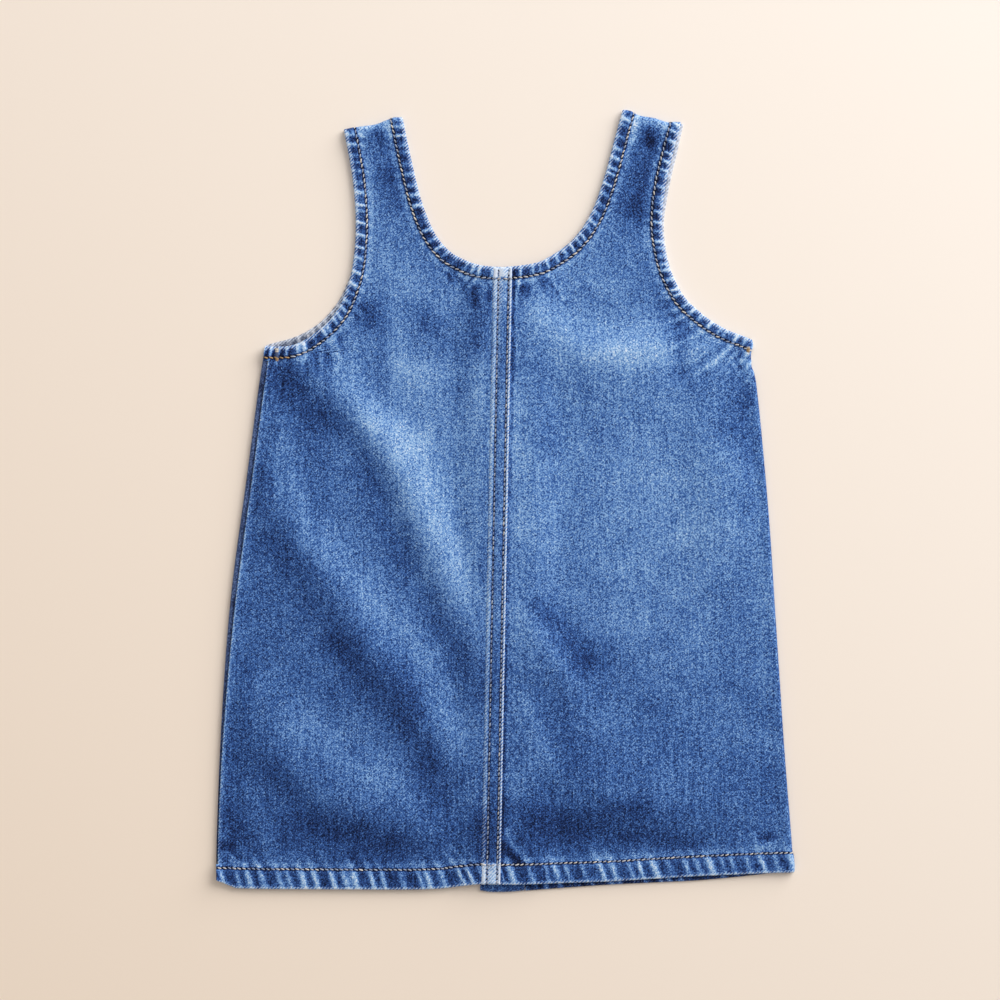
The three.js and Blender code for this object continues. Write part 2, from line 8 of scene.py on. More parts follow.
# %% Frame
import bpy
import numpy as np
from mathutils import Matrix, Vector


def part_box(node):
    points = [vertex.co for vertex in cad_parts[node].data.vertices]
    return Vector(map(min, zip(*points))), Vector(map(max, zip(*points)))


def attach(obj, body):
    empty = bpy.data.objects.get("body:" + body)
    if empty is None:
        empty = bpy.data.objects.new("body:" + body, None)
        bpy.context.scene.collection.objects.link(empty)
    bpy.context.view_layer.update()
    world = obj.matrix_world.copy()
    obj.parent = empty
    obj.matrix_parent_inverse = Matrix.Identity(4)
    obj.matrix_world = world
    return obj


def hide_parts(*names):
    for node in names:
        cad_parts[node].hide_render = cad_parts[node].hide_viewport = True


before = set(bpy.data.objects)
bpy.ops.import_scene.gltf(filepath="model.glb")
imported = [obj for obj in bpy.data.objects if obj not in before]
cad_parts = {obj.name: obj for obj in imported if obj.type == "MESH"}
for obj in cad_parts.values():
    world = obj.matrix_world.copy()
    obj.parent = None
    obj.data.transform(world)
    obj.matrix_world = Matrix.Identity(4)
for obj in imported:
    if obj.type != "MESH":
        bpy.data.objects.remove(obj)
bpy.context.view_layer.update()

# %% [markdown]
# ## Where the drawing lies in the frame
#
# The pattern is drawn about the top of the centre back seam. One small solid whose place is known in both,
# the lowest button, gives the step from the drawing to the frame.

# %% Drawing to frame
PLACKET_LINE = ((-1.6, -250.0), (3.5, 150.0))
SEAM_LINE = ((-9.4, -246.1), (-1.8, 149.9))
BUTTON = {"count": 6, "radius": 7.5, "thick": 1.5, "spacing": 62.0, "lowest_y": -190.0}


def line_x(line, y):
    """Where a leaning line is at height y: straight between its two ends."""
    (x0, y0), (x1, y1) = line
    return x0 + (x1 - x0) * (np.asarray(y, float) - y0) / (y1 - y0)


button_low, button_high = (np.array(corner) * 1000 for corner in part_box("button_1"))
button_middle = (button_low + button_high) / 2
SHIFT = button_middle[:2] - (float(line_x(PLACKET_LINE, BUTTON["lowest_y"])), BUTTON["lowest_y"])
print("drawing to frame, mm:", SHIFT.round(3))


def placed(x, y, z):
    """Points of the drawing in millimetres, as points of the frame in metres."""
    return np.stack(np.broadcast_arrays(x + SHIFT[0], y + SHIFT[1], z), -1) / 1000


# %% [markdown]
# ## Camera, table and light
#
# The photo looks straight down, so the camera does too, from far enough for a long lens: near and far cloth
# then keep the same scale. The light is a large soft lamp to the upper right, low enough for folds and hems
# to throw short shadows to the left, and a pale world fills the shadows.

# %% Camera
PHOTO = {"mm_across": 642.7, "middle": (-3.2, 0.6), "lens": 100.0, "sensor": 36.0, "focus_height": 4.0}
camera = bpy.data.objects.new("camera", bpy.data.cameras.new("camera"))
camera.data.lens, camera.data.sensor_width = PHOTO["lens"], PHOTO["sensor"]
camera_height = PHOTO["mm_across"] * PHOTO["lens"] / PHOTO["sensor"] + PHOTO["focus_height"]
camera.location = placed(*PHOTO["middle"], camera_height)
bpy.context.scene.collection.objects.link(camera)
bpy.context.scene.camera = camera
print("camera height, m:", round(camera.location.z, 3))

# %% Colours and nodes


def linear(code):
    """An sRGB hex colour as linear red, green, blue and alpha."""
    value = np.array([int(code[i : i + 2], 16) for i in (1, 3, 5)]) / 255
    return (*np.where(value <= 0.04045, value / 12.92, ((value + 0.055) / 1.055) ** 2.4), 1.0)


def add(tree, kind, inputs=(), **settings):
    """Adds a node with its settings. An input is a value for its socket, or a socket to link it to."""
    node = tree.nodes.new(kind)
    for key, value in settings.items():
        setattr(node, key, value)
    for socket, value in dict(inputs).items():
        if isinstance(value, bpy.types.NodeSocket):
            tree.links.new(value, node.inputs[socket])
        else:
            node.inputs[socket].default_value = value
    return node


def calc(tree, operation, *values):
    """One step of arithmetic on numbers or sockets."""
    return add(tree, "ShaderNodeMath", dict(enumerate(values)), operation=operation).outputs[0]


def noise(tree, place, scale, detail):
    """Soft noise over a place."""
    return add(tree, "ShaderNodeTexNoise", {"Vector": place, "Scale": scale, "Detail": detail}).outputs[0]


def moved(tree, place, **change):
    """A place that is turned, scaled or shifted."""
    change = {key.capitalize(): value for key, value in change.items()}
    return add(tree, "ShaderNodeMapping", {"Vector": place, **change}).outputs[0]


def read_mark(tree, name, output="Fac"):
    """A mark that the mesh carries on its points."""
    return add(tree, "ShaderNodeAttribute", attribute_name=name).outputs[output]


def mix(tree, share, first, second):
    """A colour between two, each a hex code or a socket."""
    first, second = (linear(colour) if isinstance(colour, str) else colour for colour in (first, second))
    return add(tree, "ShaderNodeMix", {"Factor": share, 6: first, 7: second}, data_type="RGBA").outputs[2]


def colour_ramp(tree, level, stops):
    """The colours between hex stops, chosen by a level."""
    node = add(tree, "ShaderNodeValToRGB", {"Fac": level})
    elements = node.color_ramp.elements
    while len(elements) < len(stops):
        elements.new(0.5)
    for element, (at, code) in zip(elements, stops):
        element.position, element.color = at, linear(code)
    return node.outputs[0]


def new_material(name, settings):
    """A material with these settings of its shader: itself, its node tree, its shader and the object's own
    coordinates."""
    material = bpy.data.materials.new(name)
    material.use_nodes = True
    tree = material.node_tree
    shader = tree.nodes["Principled BSDF"]
    for socket, value in settings.items():
        shader.inputs[socket].default_value = value
    return material, tree, shader, add(tree, "ShaderNodeTexCoord").outputs["Object"]


# %% Table and light
TABLE_HALF = 1500.0


def aimed_lamp(name, place, power, size, colour):
    """A square area lamp at a place in metres, turned to the middle of the dress."""
    lamp = bpy.data.lights.new(name, "AREA")
    lamp.energy, lamp.size, lamp.color = power, size, linear(colour)[:3]
    holder = bpy.data.objects.new(name, lamp)
    holder.location = place
    holder.rotation_euler = (-holder.location).to_track_quat("-Z", "Y").to_euler()
    bpy.context.scene.collection.objects.link(holder)


# A matt paper sweep, cream to the lower left and paler to the upper right: painted light, paler towards the
# window lamp
paper, tree, shader, place = new_material("matt_paper", {"Roughness": 0.9, "Specular IOR Level": 0.1})
painted_lamp_light = moved(tree, place, location=(0.5, 0, 0), rotation=(0, 0, -np.pi / 4), scale=(1.1, 1.1, 1))
painted_lamp_light = add(tree, "ShaderNodeTexGradient", {"Vector": painted_lamp_light}).outputs["Fac"]
tree.links.new(mix(tree, painted_lamp_light, "#f4e4d3", "#f2ebe4"), shader.inputs["Base Color"])
corners = np.array([(-1, -1), (1, -1), (1, 1), (-1, 1)]) * TABLE_HALF / 1000
table_mesh = bpy.data.meshes.new("table")
table_mesh.from_pydata([(x, y, 0.0) for x, y in corners.tolist()], [], [(0, 1, 2, 3)])
table_mesh.materials.append(paper)
table = bpy.data.objects.new("table", table_mesh)
bpy.context.scene.collection.objects.link(table)

aimed_lamp("window", (1.95, 1.95, 1.55), 137.0, 3.0, "#fffdfb")
aimed_lamp("ceiling", (-0.5, 0.3, 2.4), 7.0, 1.8, "#fdfbff")
world = bpy.data.worlds.new("room")
world.use_nodes = True
world.node_tree.nodes["Background"].inputs["Color"].default_value = linear("#fff8f0")
world.node_tree.nodes["Background"].inputs["Strength"].default_value = 0.38
bpy.context.scene.world = world
bpy.context.scene.view_settings.view_transform = "Standard"

# %% [markdown]
# ## Outlines of the pattern
#
# A panel's edge is a smooth curve through a few points. Each path here knows its length, its direction and
# which side the cloth is on, so a hem, a pucker or a stitch can be placed by how far it is along the edge and
# how far in from it.

# %% Paths


def smooth(t):
    """0 below 0, 1 above 1, and an S curve between."""
    t = np.clip(t, 0, 1)
    return t * t * (3 - 2 * t)


def hump(away, width):
    """1 where away is 0 and falling off on both sides: e to the minus (away / width) squared."""
    return np.exp(-((away / width) ** 2))


def through(points, step):
    """A smooth curve through the points, cut into even steps. Between two points it is a cubic whose slope at
    each is half the way from the point before to the point after."""
    p = np.asarray(points, float)
    ends = np.vstack([p[:1], p, p[-1:]])
    a, b, c, d = ends[:-3], ends[1:-2], ends[2:-1], ends[3:]
    t = np.linspace(0, 1, 40, endpoint=False)[:, None, None]
    m, n = (c - a) / 2, (d - b) / 2
    fine = (2 * b - 2 * c + m + n) * t**3 + (3 * c - 3 * b - 2 * m - n) * t**2 + m * t + b
    fine = np.vstack([fine.transpose(1, 0, 2).reshape(-1, 2), p[-1:]])
    run = np.concatenate([[0], np.cumsum(np.hypot(*np.diff(fine, axis=0).T))])
    even = np.linspace(0, run[-1], max(2, round(run[-1] / step) + 1))
    return np.column_stack([np.interp(even, run, fine[:, k]) for k in (0, 1)])


class Path:
    """An edge in plan. turn is 1 where the cloth lies to the left of its direction, and -1 to the right."""

    def __init__(self, points, turn=1, step=1.0):
        self.points = through(points, step)
        self.run = np.concatenate([[0], np.cumsum(np.hypot(*np.diff(self.points, axis=0).T))])
        self.length = self.run[-1]
        along = np.gradient(self.points, axis=0)
        self.along = along / np.hypot(*along.T)[:, None]
        self.inward = turn * np.column_stack([-self.along[:, 1], self.along[:, 0]])

    def at(self, s, d):
        """Plan point at length s and d inwards. Past its ends the path runs straight on."""
        s, d = np.broadcast_arrays(np.asarray(s, float), d)
        over = s - np.clip(s, 0, self.length)
        last = np.where(over > 0, -1, 0)
        read = lambda table, k: np.interp(s, self.run, table[:, k])
        return [read(self.points, k) + d * read(self.inward, k) + over * self.along[last, k] for k in (0, 1)]

    def near(self, x, y):
        """Length along the path and distance inwards of plan points, from the nearest point of the path."""
        flat = np.column_stack([np.ravel(x), np.ravel(y)])
        nearest = np.concatenate(
            [
                np.argmin(((part[:, None] - self.points[None]) ** 2).sum(-1), 1)
                for part in np.array_split(flat, len(flat) // 4000 + 1)
            ]
        )
        away = flat - self.points[nearest]
        s = self.run[nearest] + (away * self.along[nearest]).sum(-1)
        d = (away * self.inward[nearest]).sum(-1)
        return s.reshape(np.shape(x)), d.reshape(np.shape(x))


# %% Edge tables
SIDE = {
    "left": [(-185.5, -241.7), (-185.5, -217), (-182.3, -140), (-176.5, -63), (-166.3, 14), (-158.6, 72),
             (-154.4, 99)],
    "right": [(185.5, -238.6), (184.3, -217), (179.8, -160), (174.6, -82), (169.5, -6), (162.2, 71),
              (158.4, 88), (158.8, 103.4)],
}
ARMHOLE = {
    "left": [(-154.4, 99.2), (-146, 99.0), (-138, 99.6), (-130.2, 102.4), (-121.7, 108.1), (-113.6, 115.2),
             (-107.1, 123.9), (-102.2, 135), (-97.9, 150), (-95.7, 176), (-97.6, 206), (-103.4, 238.6)],
    "right": [(158.8, 103.4), (151.7, 106.3), (142.7, 109.8), (133, 115.3), (124.8, 121.6), (116, 130),
              (109.4, 141), (104, 155), (100.6, 177), (102.6, 200), (107.4, 222), (113, 242.4)],
}
NECK = {
    "left": [(-1.8, 149.9), (-16, 151.2), (-27, 155.2), (-37, 161.5), (-46.4, 174), (-54.5, 195), (-61, 222),
             (-66.1, 246.4)],
    "right": [(-1.8, 149.9), (14.5, 151.6), (26, 155.2), (43.4, 167.5), (55.5, 185), (64, 208), (71.3, 235),
              (75.7, 250.6)],
}
HEM = {
    "left": [(-9.4, -246.1), (-17.4, -246), (-30, -247.5), (-41.8, -249), (-67.5, -249.7), (-150, -249.3),
             (-170, -248.9), (-182, -248.4)],
    "right": [(-9.4, -246.1), (12.8, -246.1), (61, -244.7), (93, -242.9), (125, -241), (170, -239.1),
              (185.5, -238.6)],
}
FRONT_ARMHOLE = {
    "left": [(-154.4, 99.8), (-147, 101.9), (-137.5, 104.4), (-127.5, 108.9), (-117.1, 116.2),
             (-108.2, 126.6), (-102.9, 136.4), (-98.2, 150), (-96, 176), (-97.8, 206), (-103.4, 238.6)],
    "right": [(155, 102.4), (143, 108.2), (133, 114.2), (124.4, 121), (116, 129.4), (109.8, 141),
              (104.8, 155), (102, 177), (105, 200), (110, 222), (114.6, 242.4)],
}
FRONT_HEM = {
    "left": [(-16.4, -243), (-30, -244), (-50, -246), (-110, -246.5), (-172, -245), (-183.4, -240.5)],
    "right": [(13.2, -250.6), (61, -247.1), (97, -245.3), (125, -243.9), (163.9, -240.2), (180.1, -237.6)],
}
PLACKET_HEM = [(-16.1, -250.6), (-9, -251.6), (3, -251.5), (12.9, -250.6)]
OUT = {"left": -1.0, "right": 1.0}
side_line = {name: through(points, 1.5) for name, points in SIDE.items()}


def side_x(name, y):
    """Where the folded side of the dress is at height y."""
    return np.interp(y, side_line[name][:, 1], side_line[name][:, 0])


def strap_top_y(x):
    """Height of the end of the strap above x: a straight line between its two corners."""
    ends = {name: (NECK[name][-1], ARMHOLE[name][-1]) for name in OUT}
    line = lambda a, b: a[1] + (b[1] - a[1]) * (x - a[0]) / (b[0] - a[0])
    return np.where(np.asarray(x) < 0, line(*ends["left"]), line(*ends["right"]))


# %% [markdown]
# ## How high the cloth lies
#
# The back rests on the front and its hems. It rises over the placket in the middle and at the folded sides
# and shoulders, and seven soft folds cross it. On top of that come the creases and washes of this dress. Each
# is one row of a table: a line of a few points on the cloth, how far it lifts the cloth, how far it fades
# (above 0) or darkens (below 0) its colour, and how wide it is on either side. Denim loses its dye on what
# stands proud and keeps it in the hollows, and the colour of a crease also carries painted highlight and
# shade of its fold, so a crease does both. A fade is where the cloth lies flat.

# %% Heights
CLOTH = 1.2
GAP = 0.3
TURNED_EXTRA = 0.7
BACK_REST = CLOTH + TURNED_EXTRA + GAP
FOLD_RISE = 0.8
FOLD_FADE = 14.0
FOLD_RADIUS = (BACK_REST + FOLD_RISE + CLOTH) / 2
FOLD_LEG = 3.0
OVER_PLACKET = 2.8
PLACKET_WIDTH = 28.9
OVER_CENTRE = {"fade": 24.0, "to": 165.0}
SIDE_FOLD_TOP = 124.0
CREASE_EDGE = 8.0
FOLDS = [
    # rise, width above, width below, crest
    (3.6, 14, 14, [(-136, 92), (-98, 55), (-69, 20), (-47, -31), (-30, -74), (-19, -102)]),
    (3.8, 18, 19, [(-156, 14), (-128, -37), (-99, -77), (-71, -118), (-42, -160), (-30, -182)]),
    (3.2, 22, 18, [(-164, -137), (-133, -174), (-83, -201), (-48, -214)]),
    (3.0, 16, 30, [(26, 116), (45, 98), (72, 94), (112, 98)]),
    (2.6, 24, 20, [(132, 62), (138, 10), (132, -40)]),
    (3.0, 16, 18, [(12, -72), (28, -100), (44, -132)]),
    (2.8, 36, 22, [(10, -150), (38, -172), (92, -196), (152, -190)]),
]
CREASES = [
    # lift, wash, width above, width below, line
    (0.0, -0.05, 60, 40, [(-150, -225), (150, -225)]),
    (0.0, 0.1, 22, 20, [(28, 114), (70, 110), (145, 98)]),
    (-0.6, -0.13, 11, 13, [(-148, 91), (-92, 33), (-67, -31), (-19, -121)]),
    (0.5, 0.11, 9, 10, [(-106, 97), (-90, 58), (-58, 33), (-35, -25), (-26, -57)]),
    (0.4, 0.09, 11, 11, [(-148, 49), (-125, -19), (-87, -60), (-58, -89), (-29, -157)]),
    (-0.6, -0.12, 12, 12, [(-148, -25), (-106, -89), (-67, -144), (-39, -186)]),
    (0.4, 0.07, 10, 10, [(-161, -121), (-122, -154), (-74, -183), (-51, -211)]),
    (-0.4, -0.1, 10, 10, [(-148, -176), (-116, -208), (-67, -224)]),
    (0.4, 0.08, 6, 6, [(-167, -186), (-154, -218)]),
    (-0.3, -0.12, 8, 8, [(-88, 122), (-82, 114)]),
    (-0.3, -0.1, 8, 8, [(-54, 122), (-48, 112)]),
    (-0.3, -0.1, 6, 6, [(-19, 129), (-17, 97)]),
    (-0.2, -0.08, 9, 9, [(-30, 72), (-27, 58)]),
    (0.3, 0.11, 10, 10, [(-66, 88), (-56, 80)]),
    (0.4, 0.09, 9, 9, [(22, 123), (45, 97), (106, 100)]),
    (-0.5, -0.14, 8, 8, [(112, 118), (112, 84)]),
    (-0.3, -0.12, 12, 12, [(150, 64), (146, 48)]),
    (0.2, 0.07, 14, 14, [(138, 30), (138, -30)]),
    (-0.4, -0.12, 10, 10, [(22, -67), (55, -99)]),
    (0.4, 0.08, 6, 6, [(10, -70), (42, -115)]),
    (0.4, 0.08, 6, 6, [(10, -128), (32, -176)]),
    (-0.5, -0.13, 9, 9, [(3, -199), (60, -212), (125, -221)]),
    (-0.3, -0.1, 10, 10, [(168, -176), (166, -190)]),
    (-0.7, -0.28, 3.5, 3.5, [(1, -222), (8, -231)]),
    (0.6, 0.22, 2.2, 2.2, [(1.5, -212), (4, -220), (8, -227), (15, -231)]),
    (-0.4, -0.13, 9, 9, [(-79, 226), (-72, 190)]),
    (-0.4, -0.2, 10, 10, [(94, 230), (84, 188)]),
    (-0.2, -0.15, 7, 9, [(68, -197), (84, -197)]),
    # pits and pleats above the hem's corners and beside the seam
    (-0.5, -0.24, 2.6, 3.2, [(165.5, -216), (172, -215.5)]),
    (0.3, 0.15, 2.4, 2.4, [(166, -221.5), (172.5, -220)]),
    (0.4, 0.2, 1.5, 1.5, [(158.5, -214), (161.5, -218), (165.2, -222.5)]),
    (-0.5, -0.22, 3.4, 3.4, [(-184, -221), (-177, -223)]),
    (0.4, 0.18, 1.4, 1.4, [(-178.5, -225), (-173, -234)]),
    (0.4, 0.18, 1.3, 1.3, [(-173, -230.5), (-169, -235)]),
    (-0.4, -0.2, 1.6, 1.6, [(-171, -229), (-167.5, -232)]),
    (0.3, 0.15, 1.4, 1.4, [(-168, -224), (-167, -233.5)]),
    (0.3, 0.16, 1.3, 1.3, [(-161.5, -232), (-157, -236)]),
    (0.3, 0.14, 1.3, 1.3, [(-152.5, -233), (-149.5, -236)]),
    (-0.5, -0.22, 3.4, 3.4, [(2.5, -226), (12.5, -231.5)]),
    (0.4, 0.16, 1.8, 1.8, [(-1, -217), (3, -231)]),
    (0.3, 0.12, 2.8, 2.8, [(6.5, -222), (14.5, -230.5)]),
    # short pleats below the neck and under the arms
    (-0.3, -0.16, 1.6, 1.6, [(-38, 148.5), (-34, 141)]),
    (0.2, 0.12, 1.1, 1.1, [(-39, 150), (-38, 140)]),
    (-0.3, -0.17, 1.8, 1.8, [(-32, 145.5), (-26.7, 140.5), (-24.5, 133)]),
    (0.2, 0.13, 1, 1, [(-31, 146.5), (-22.5, 138.5)]),
    (-0.4, -0.19, 2.2, 2.2, [(-22, 143.5), (-20.5, 135), (-18.6, 126)]),
    (0.2, 0.15, 1.1, 1.1, [(-16, 142.5), (-12.3, 134.5)]),
    (-0.3, -0.16, 1.6, 1.6, [(-11.3, 140.5), (-9, 136.5), (-10.3, 128)]),
    (0.3, 0.16, 1.5, 1.5, [(6.6, 140.4), (12, 140.8), (18.5, 142.3)]),
    (-0.4, -0.18, 2.2, 2.2, [(10, 137), (15, 136), (14, 132)]),
    (-0.4, -0.2, 1.8, 1.8, [(22.5, 143), (24.5, 138.5)]),
    (-0.4, -0.2, 1.9, 1.9, [(27.5, 142.4), (31.5, 137), (34, 133)]),
    (0.2, 0.14, 1.2, 1.2, [(27, 146), (30, 141.5), (38, 130)]),
    (-0.2, -0.12, 1.7, 1.7, [(41, 149), (48, 142), (55, 135)]),
    (0.2, 0.11, 1.2, 1.2, [(38, 150.5), (45, 142.5), (49, 139)]),
    (0.3, 0.18, 1.3, 1.3, [(146, 97.5), (152.5, 88.5)]),
    (-0.4, -0.24, 1.6, 1.6, [(148.5, 97), (152, 93)]),
    (-0.3, -0.2, 1.6, 1.6, [(142.5, 99.5), (146.5, 95)]),
    (-0.3, -0.2, 1.5, 1.5, [(149.5, 90.5), (152.5, 84)]),
    (0.4, 0.18, 1.6, 1.6, [(153, 90), (159.5, 87)]),
    (0.3, 0.11, 2.2, 2.2, [(155.5, 85), (160, 68)]),
    (-0.3, -0.16, 1.4, 1.4, [(-128, 89), (-127.5, 80)]),
    (0.2, 0.13, 1.2, 1.2, [(-130.5, 91), (-131, 82)]),
    (-0.3, -0.18, 1.5, 1.5, [(-121.5, 95), (-121, 84)]),
    (0.2, 0.13, 1.3, 1.3, [(-118.5, 98), (-117.5, 88)]),
    (-0.3, -0.18, 1.6, 1.6, [(-113.5, 101), (-112, 90)]),
    (0.2, 0.14, 1.3, 1.3, [(-110.5, 104), (-108.5, 94)]),
    (-0.3, -0.16, 1.6, 1.6, [(-106, 107), (-103.5, 97)]),
    # the straps' ends
    (-0.5, -0.22, 3, 3, [(-82.5, 237.5), (-80, 233)]),
    (0.3, 0.14, 3.5, 3.5, [(-91, 238), (-86, 243)]),
    (0.3, 0.12, 3, 3, [(-75, 243), (-73, 235)]),
    (-0.5, -0.22, 3.5, 3.5, [(92, 236), (94, 230)]),
    (0.3, 0.16, 3, 4, [(84, 245), (82.5, 232)]),
    (0.3, 0.12, 3, 3, [(99, 243), (105, 238)]),
]
FADES = [
    # wash, width, line, where the cloth lies flat
    (0.1, 52, [(85, 60), (92, -20), (85, -55)]),
    (0.08, 30, [(-18, 50), (-14, -60)]),
    (0.11, 17, [(-48, 78), (-55, 20), (-46, -40)]),
    (-0.07, 32, [(-160, 72), (-168, -60), (-178, -210)]),
    (-0.07, 20, [(-178, -140), (-178, -222)]),
    (-0.1, 15, [(-140, -212), (45, -217)]),
    (-0.08, 20, [(36, -118), (38, -200)]),
    (-0.08, 13, [(-108, -92), (-64, -128)]),
    (-0.08, 12, [(-62, -116), (-48, -162)]),
    (0.08, 14, [(-86, 218), (-87, 150)]),
    (0.08, 15, [(-64, 142), (-44, 126)]),
    (0.08, 8, [(5, 76), (5, 38)]),
    (0.08, 18, [(38, 140), (72, 134)]),
    (0.08, 9, [(-106, 56), (-100, 32)]),
    (-0.08, 13, [(-140, 74), (-120, 50)]),
    (-0.1, 5, [(-14, -205), (-15, -229)]),
    (0.1, 9, [(-84, 58), (-78, 36), (-69, 18), (-67, -2)]),
    (0.08, 8, [(-69, 130), (-69, 88)]),
    (-0.07, 16, [(50, -100), (92, -135)]),
    (-0.08, 9, [(52, -50), (62, -56)]),
    (-0.08, 9, [(46, 128), (100, 128)]),
    (-0.06, 9, [(90, -198), (132, -198)]),
    (0.09, 7, [(30, -233), (85, -232)]),
    (0.07, 7, [(108, -231), (170, -229)]),
    (0.06, 7, [(-176, -233), (-140, -233)]),
    (-0.08, 7, [(-112, -233), (-80, -233)]),
    (0.07, 9, [(-126, 76), (-118, 70)]),
    (-0.05, 12, [(-124, 22), (-122, -4)]),
    (0.06, 5, [(165, -80), (167, -120)]),
    (0.05, 6, [(165, -190), (166, -215)]),
    (0.07, 8, [(-89, -68), (-84, -74)]),
    (-0.05, 13, [(-124, -104), (-100, -136)]),
    (-0.07, 6, [(-54, 192), (-47, 165)]),
    (0.06, 14, [(22, 20), (24, -30)]),
    (0.07, 8, [(-16, 92), (-15, 40)]),
    (0.06, 9, [(36, 22), (42, 16)]),
    (0.07, 8, [(-69, 75), (-69, 20)]),
    (-0.09, 9, [(-158, 46), (-161, -3)]),
    (0.08, 9, [(57, 91), (100, 92), (138, 90)]),
    (0.06, 14, [(93, 19), (119, -19)]),
    (0.07, 6, [(162, -10), (166, -70)]),
    (0.09, 7, [(-88, 48), (-84, 30)]),
    (0.06, 8, [(8, 60), (8, -20)]),
    (0.08, 8, [(6, -180), (6, -205)]),
    (0.07, 7, [(-122, 76), (-122, 66)]),
]


def stroke(line, above, below, x, y):
    """A bell across a line, 1 on it and falling off over its widths, and how far along the line each point
    is. Above is to the left of the line's direction."""
    path = Path(line, step=2.0)
    bell, share = np.zeros(np.shape(x)), np.zeros(np.shape(x))
    reach = 2.6 * max(above, below)
    low, high = path.points.min(0) - reach, path.points.max(0) + reach
    inside = (x > low[0]) & (x < high[0]) & (y > low[1]) & (y < high[1])
    s, d = path.near(x[inside], y[inside])
    over = s - np.clip(s, 0, path.length)
    bell[inside] = hump(np.hypot(d, over), np.where(d > 0, above, below))
    share[inside] = np.clip(s / path.length, 0, 1)
    return bell, share


def creased(table, x, y, hold):
    """What the creases of a table add up to: their lift, of which hold is left at each point, and their
    wash, part dye and part painted highlight and shade of their folds."""
    lift, wash = np.zeros(x.shape), np.zeros(x.shape)
    for rise, fade, above, below, line in table:
        bell, _ = stroke(line, above, below, x, y)
        lift += rise * bell * hold
        wash += fade * bell
    return lift, wash


def with_side(x, y):
    """Both coordinates in one shape, and the distance from the nearer folded side."""
    x, y = (np.asarray(v, float) for v in np.broadcast_arrays(x, y))
    return x, y, np.minimum(x - side_x("left", y), side_x("right", y) - x)


def back_form(x, y):
    """Height of the back's lower face and the wash of its dye, with painted shade in its creases and beside
    the felled seam, without the small puckers of its seams.
    """
    x, y, from_side = with_side(x, y)
    side_fold = (1 - smooth(from_side / FOLD_FADE)) * smooth((SIDE_FOLD_TOP - y) / 25)
    shoulder_fold = 1 - smooth((strap_top_y(x) - y - FOLD_RADIUS - FOLD_LEG) / FOLD_FADE)
    from_placket = np.abs(x - line_x(PLACKET_LINE, y)) - PLACKET_WIDTH / 2
    over_centre = OVER_PLACKET + CLOTH + 2 * GAP - BACK_REST
    centre = over_centre * (1 - smooth(from_placket / OVER_CENTRE["fade"]))
    centre = centre * smooth((OVER_CENTRE["to"] - y) / 12)
    inside = smooth(from_side / FOLD_FADE) * smooth((y + 245) / 30) * smooth((150 - y) / 40)
    folds = np.zeros(x.shape)
    for rise, above, below, crest in FOLDS:
        bell, share = stroke(crest, above, below, x, y)
        folds += rise * (0.4 + 0.6 * np.sin(np.pi * share)) * bell * inside
    lift, wash = creased(CREASES, x, y, smooth(from_side / CREASE_EDGE))
    for fade, width, line in FADES:
        wash += fade * stroke(line, width, width, x, y)[0]
    # The shoulder's edge is rubbed pale. Right beside the felled seam's folded edge lies a dark line of
    # painted shadow over deeper dye, and a faint painted shade lies left of the band
    wash += 0.14 * hump(strap_top_y(x) - y - 2.0, 3.5)
    from_seam = x - line_x(SEAM_LINE, y)
    shadow_beside_fold = hump(from_seam - 7.5, 0.9) * (0.27 + 0.12 * smooth((y - 70) / 50))
    wash -= smooth((152 - y) / 4) * (shadow_beside_fold + 0.04 * hump(from_seam + 8.0, 1.6))
    high = np.hypot(centre, np.maximum(folds + lift, 0))
    return BACK_REST + np.hypot(high, FOLD_RISE * np.maximum(side_fold, shoulder_fold)), wash


# %% [markdown]
# ## Round the folded sides and shoulders
#
# Every piece is worked out on the flat pattern first, and then what lies past a fold line is carried round a
# roll of cloth: the back goes over both shoulders and under the right side, and the front comes up round the
# left side and ends on top in a narrow strip.

# %% Folding
ROLL_MIDDLE = 1.7
ROLL_ARC = np.pi * ROLL_MIDDLE
LEFT_STRIP = {"wide": 3.2, "narrow": 0.8, "from_y": -30.0, "to_y": -200.0}
CORNER_CUT = {"wide": 13.0, "high": 4.8, "row_y": -236.5, "depth": 12.0}


def round_a_roll(past, z):
    """What lies a distance past a fold line, carried round: first half a turn about the roll's axis at its
    own radius, then straight back. Gives the way out from the fold line and the height, never below 0."""
    angle = np.clip(past / ROLL_MIDDLE, 0, np.pi)
    radius = z - FOLD_RADIUS
    out = np.where(past < 0, past, np.abs(radius) * np.sin(angle) - np.maximum(past - ROLL_ARC, 0))
    height = np.maximum(FOLD_RADIUS + radius * np.cos(angle), 0)
    return out, np.where(past < 0, z, height)


def as_drawn(x, y, z):
    """What needs no folding."""
    return x, y, z


def strap_frame(name):
    """A corner of the strap's end, the way along that end, and the way out of it."""
    a, b = np.array(NECK[name][-1]), np.array(ARMHOLE[name][-1])
    along = (b - a) / np.hypot(*(b - a))
    out = np.array([-along[1], along[0]])
    return a, along, out * np.sign(out[1])


def over_shoulder(name, x, y, z):
    """Carries what lies past the shoulder's fold line over the shoulder. The folded edge waves a little."""
    corner, along, out = strap_frame(name)
    across = (x - corner[0]) * along[0] + (y - corner[1]) * along[1]
    wave = 0.45 * np.sin(across / 3.1 + OUT[name]) + 0.35 * np.sin(across / 5.3)
    past = (x - corner[0]) * out[0] + (y - corner[1]) * out[1] + FOLD_RADIUS - wave
    way, height = round_a_roll(past, z)
    shift = way - past
    return x + out[0] * shift, y + out[1] * shift, height


def under_side(x, y, z):
    """Carries what lies past the right side's fold line under the dress."""
    line = side_x("right", y) - FOLD_RADIUS
    way, height = round_a_roll(x - line, z)
    return line + way, y, height


def up_side(x, y, z):
    """Carries what lies past the left side's fold line up onto the dress."""
    line = side_x("left", y) + FOLD_RADIUS
    way, height = round_a_roll(line - x, z)
    return line - way, y, height


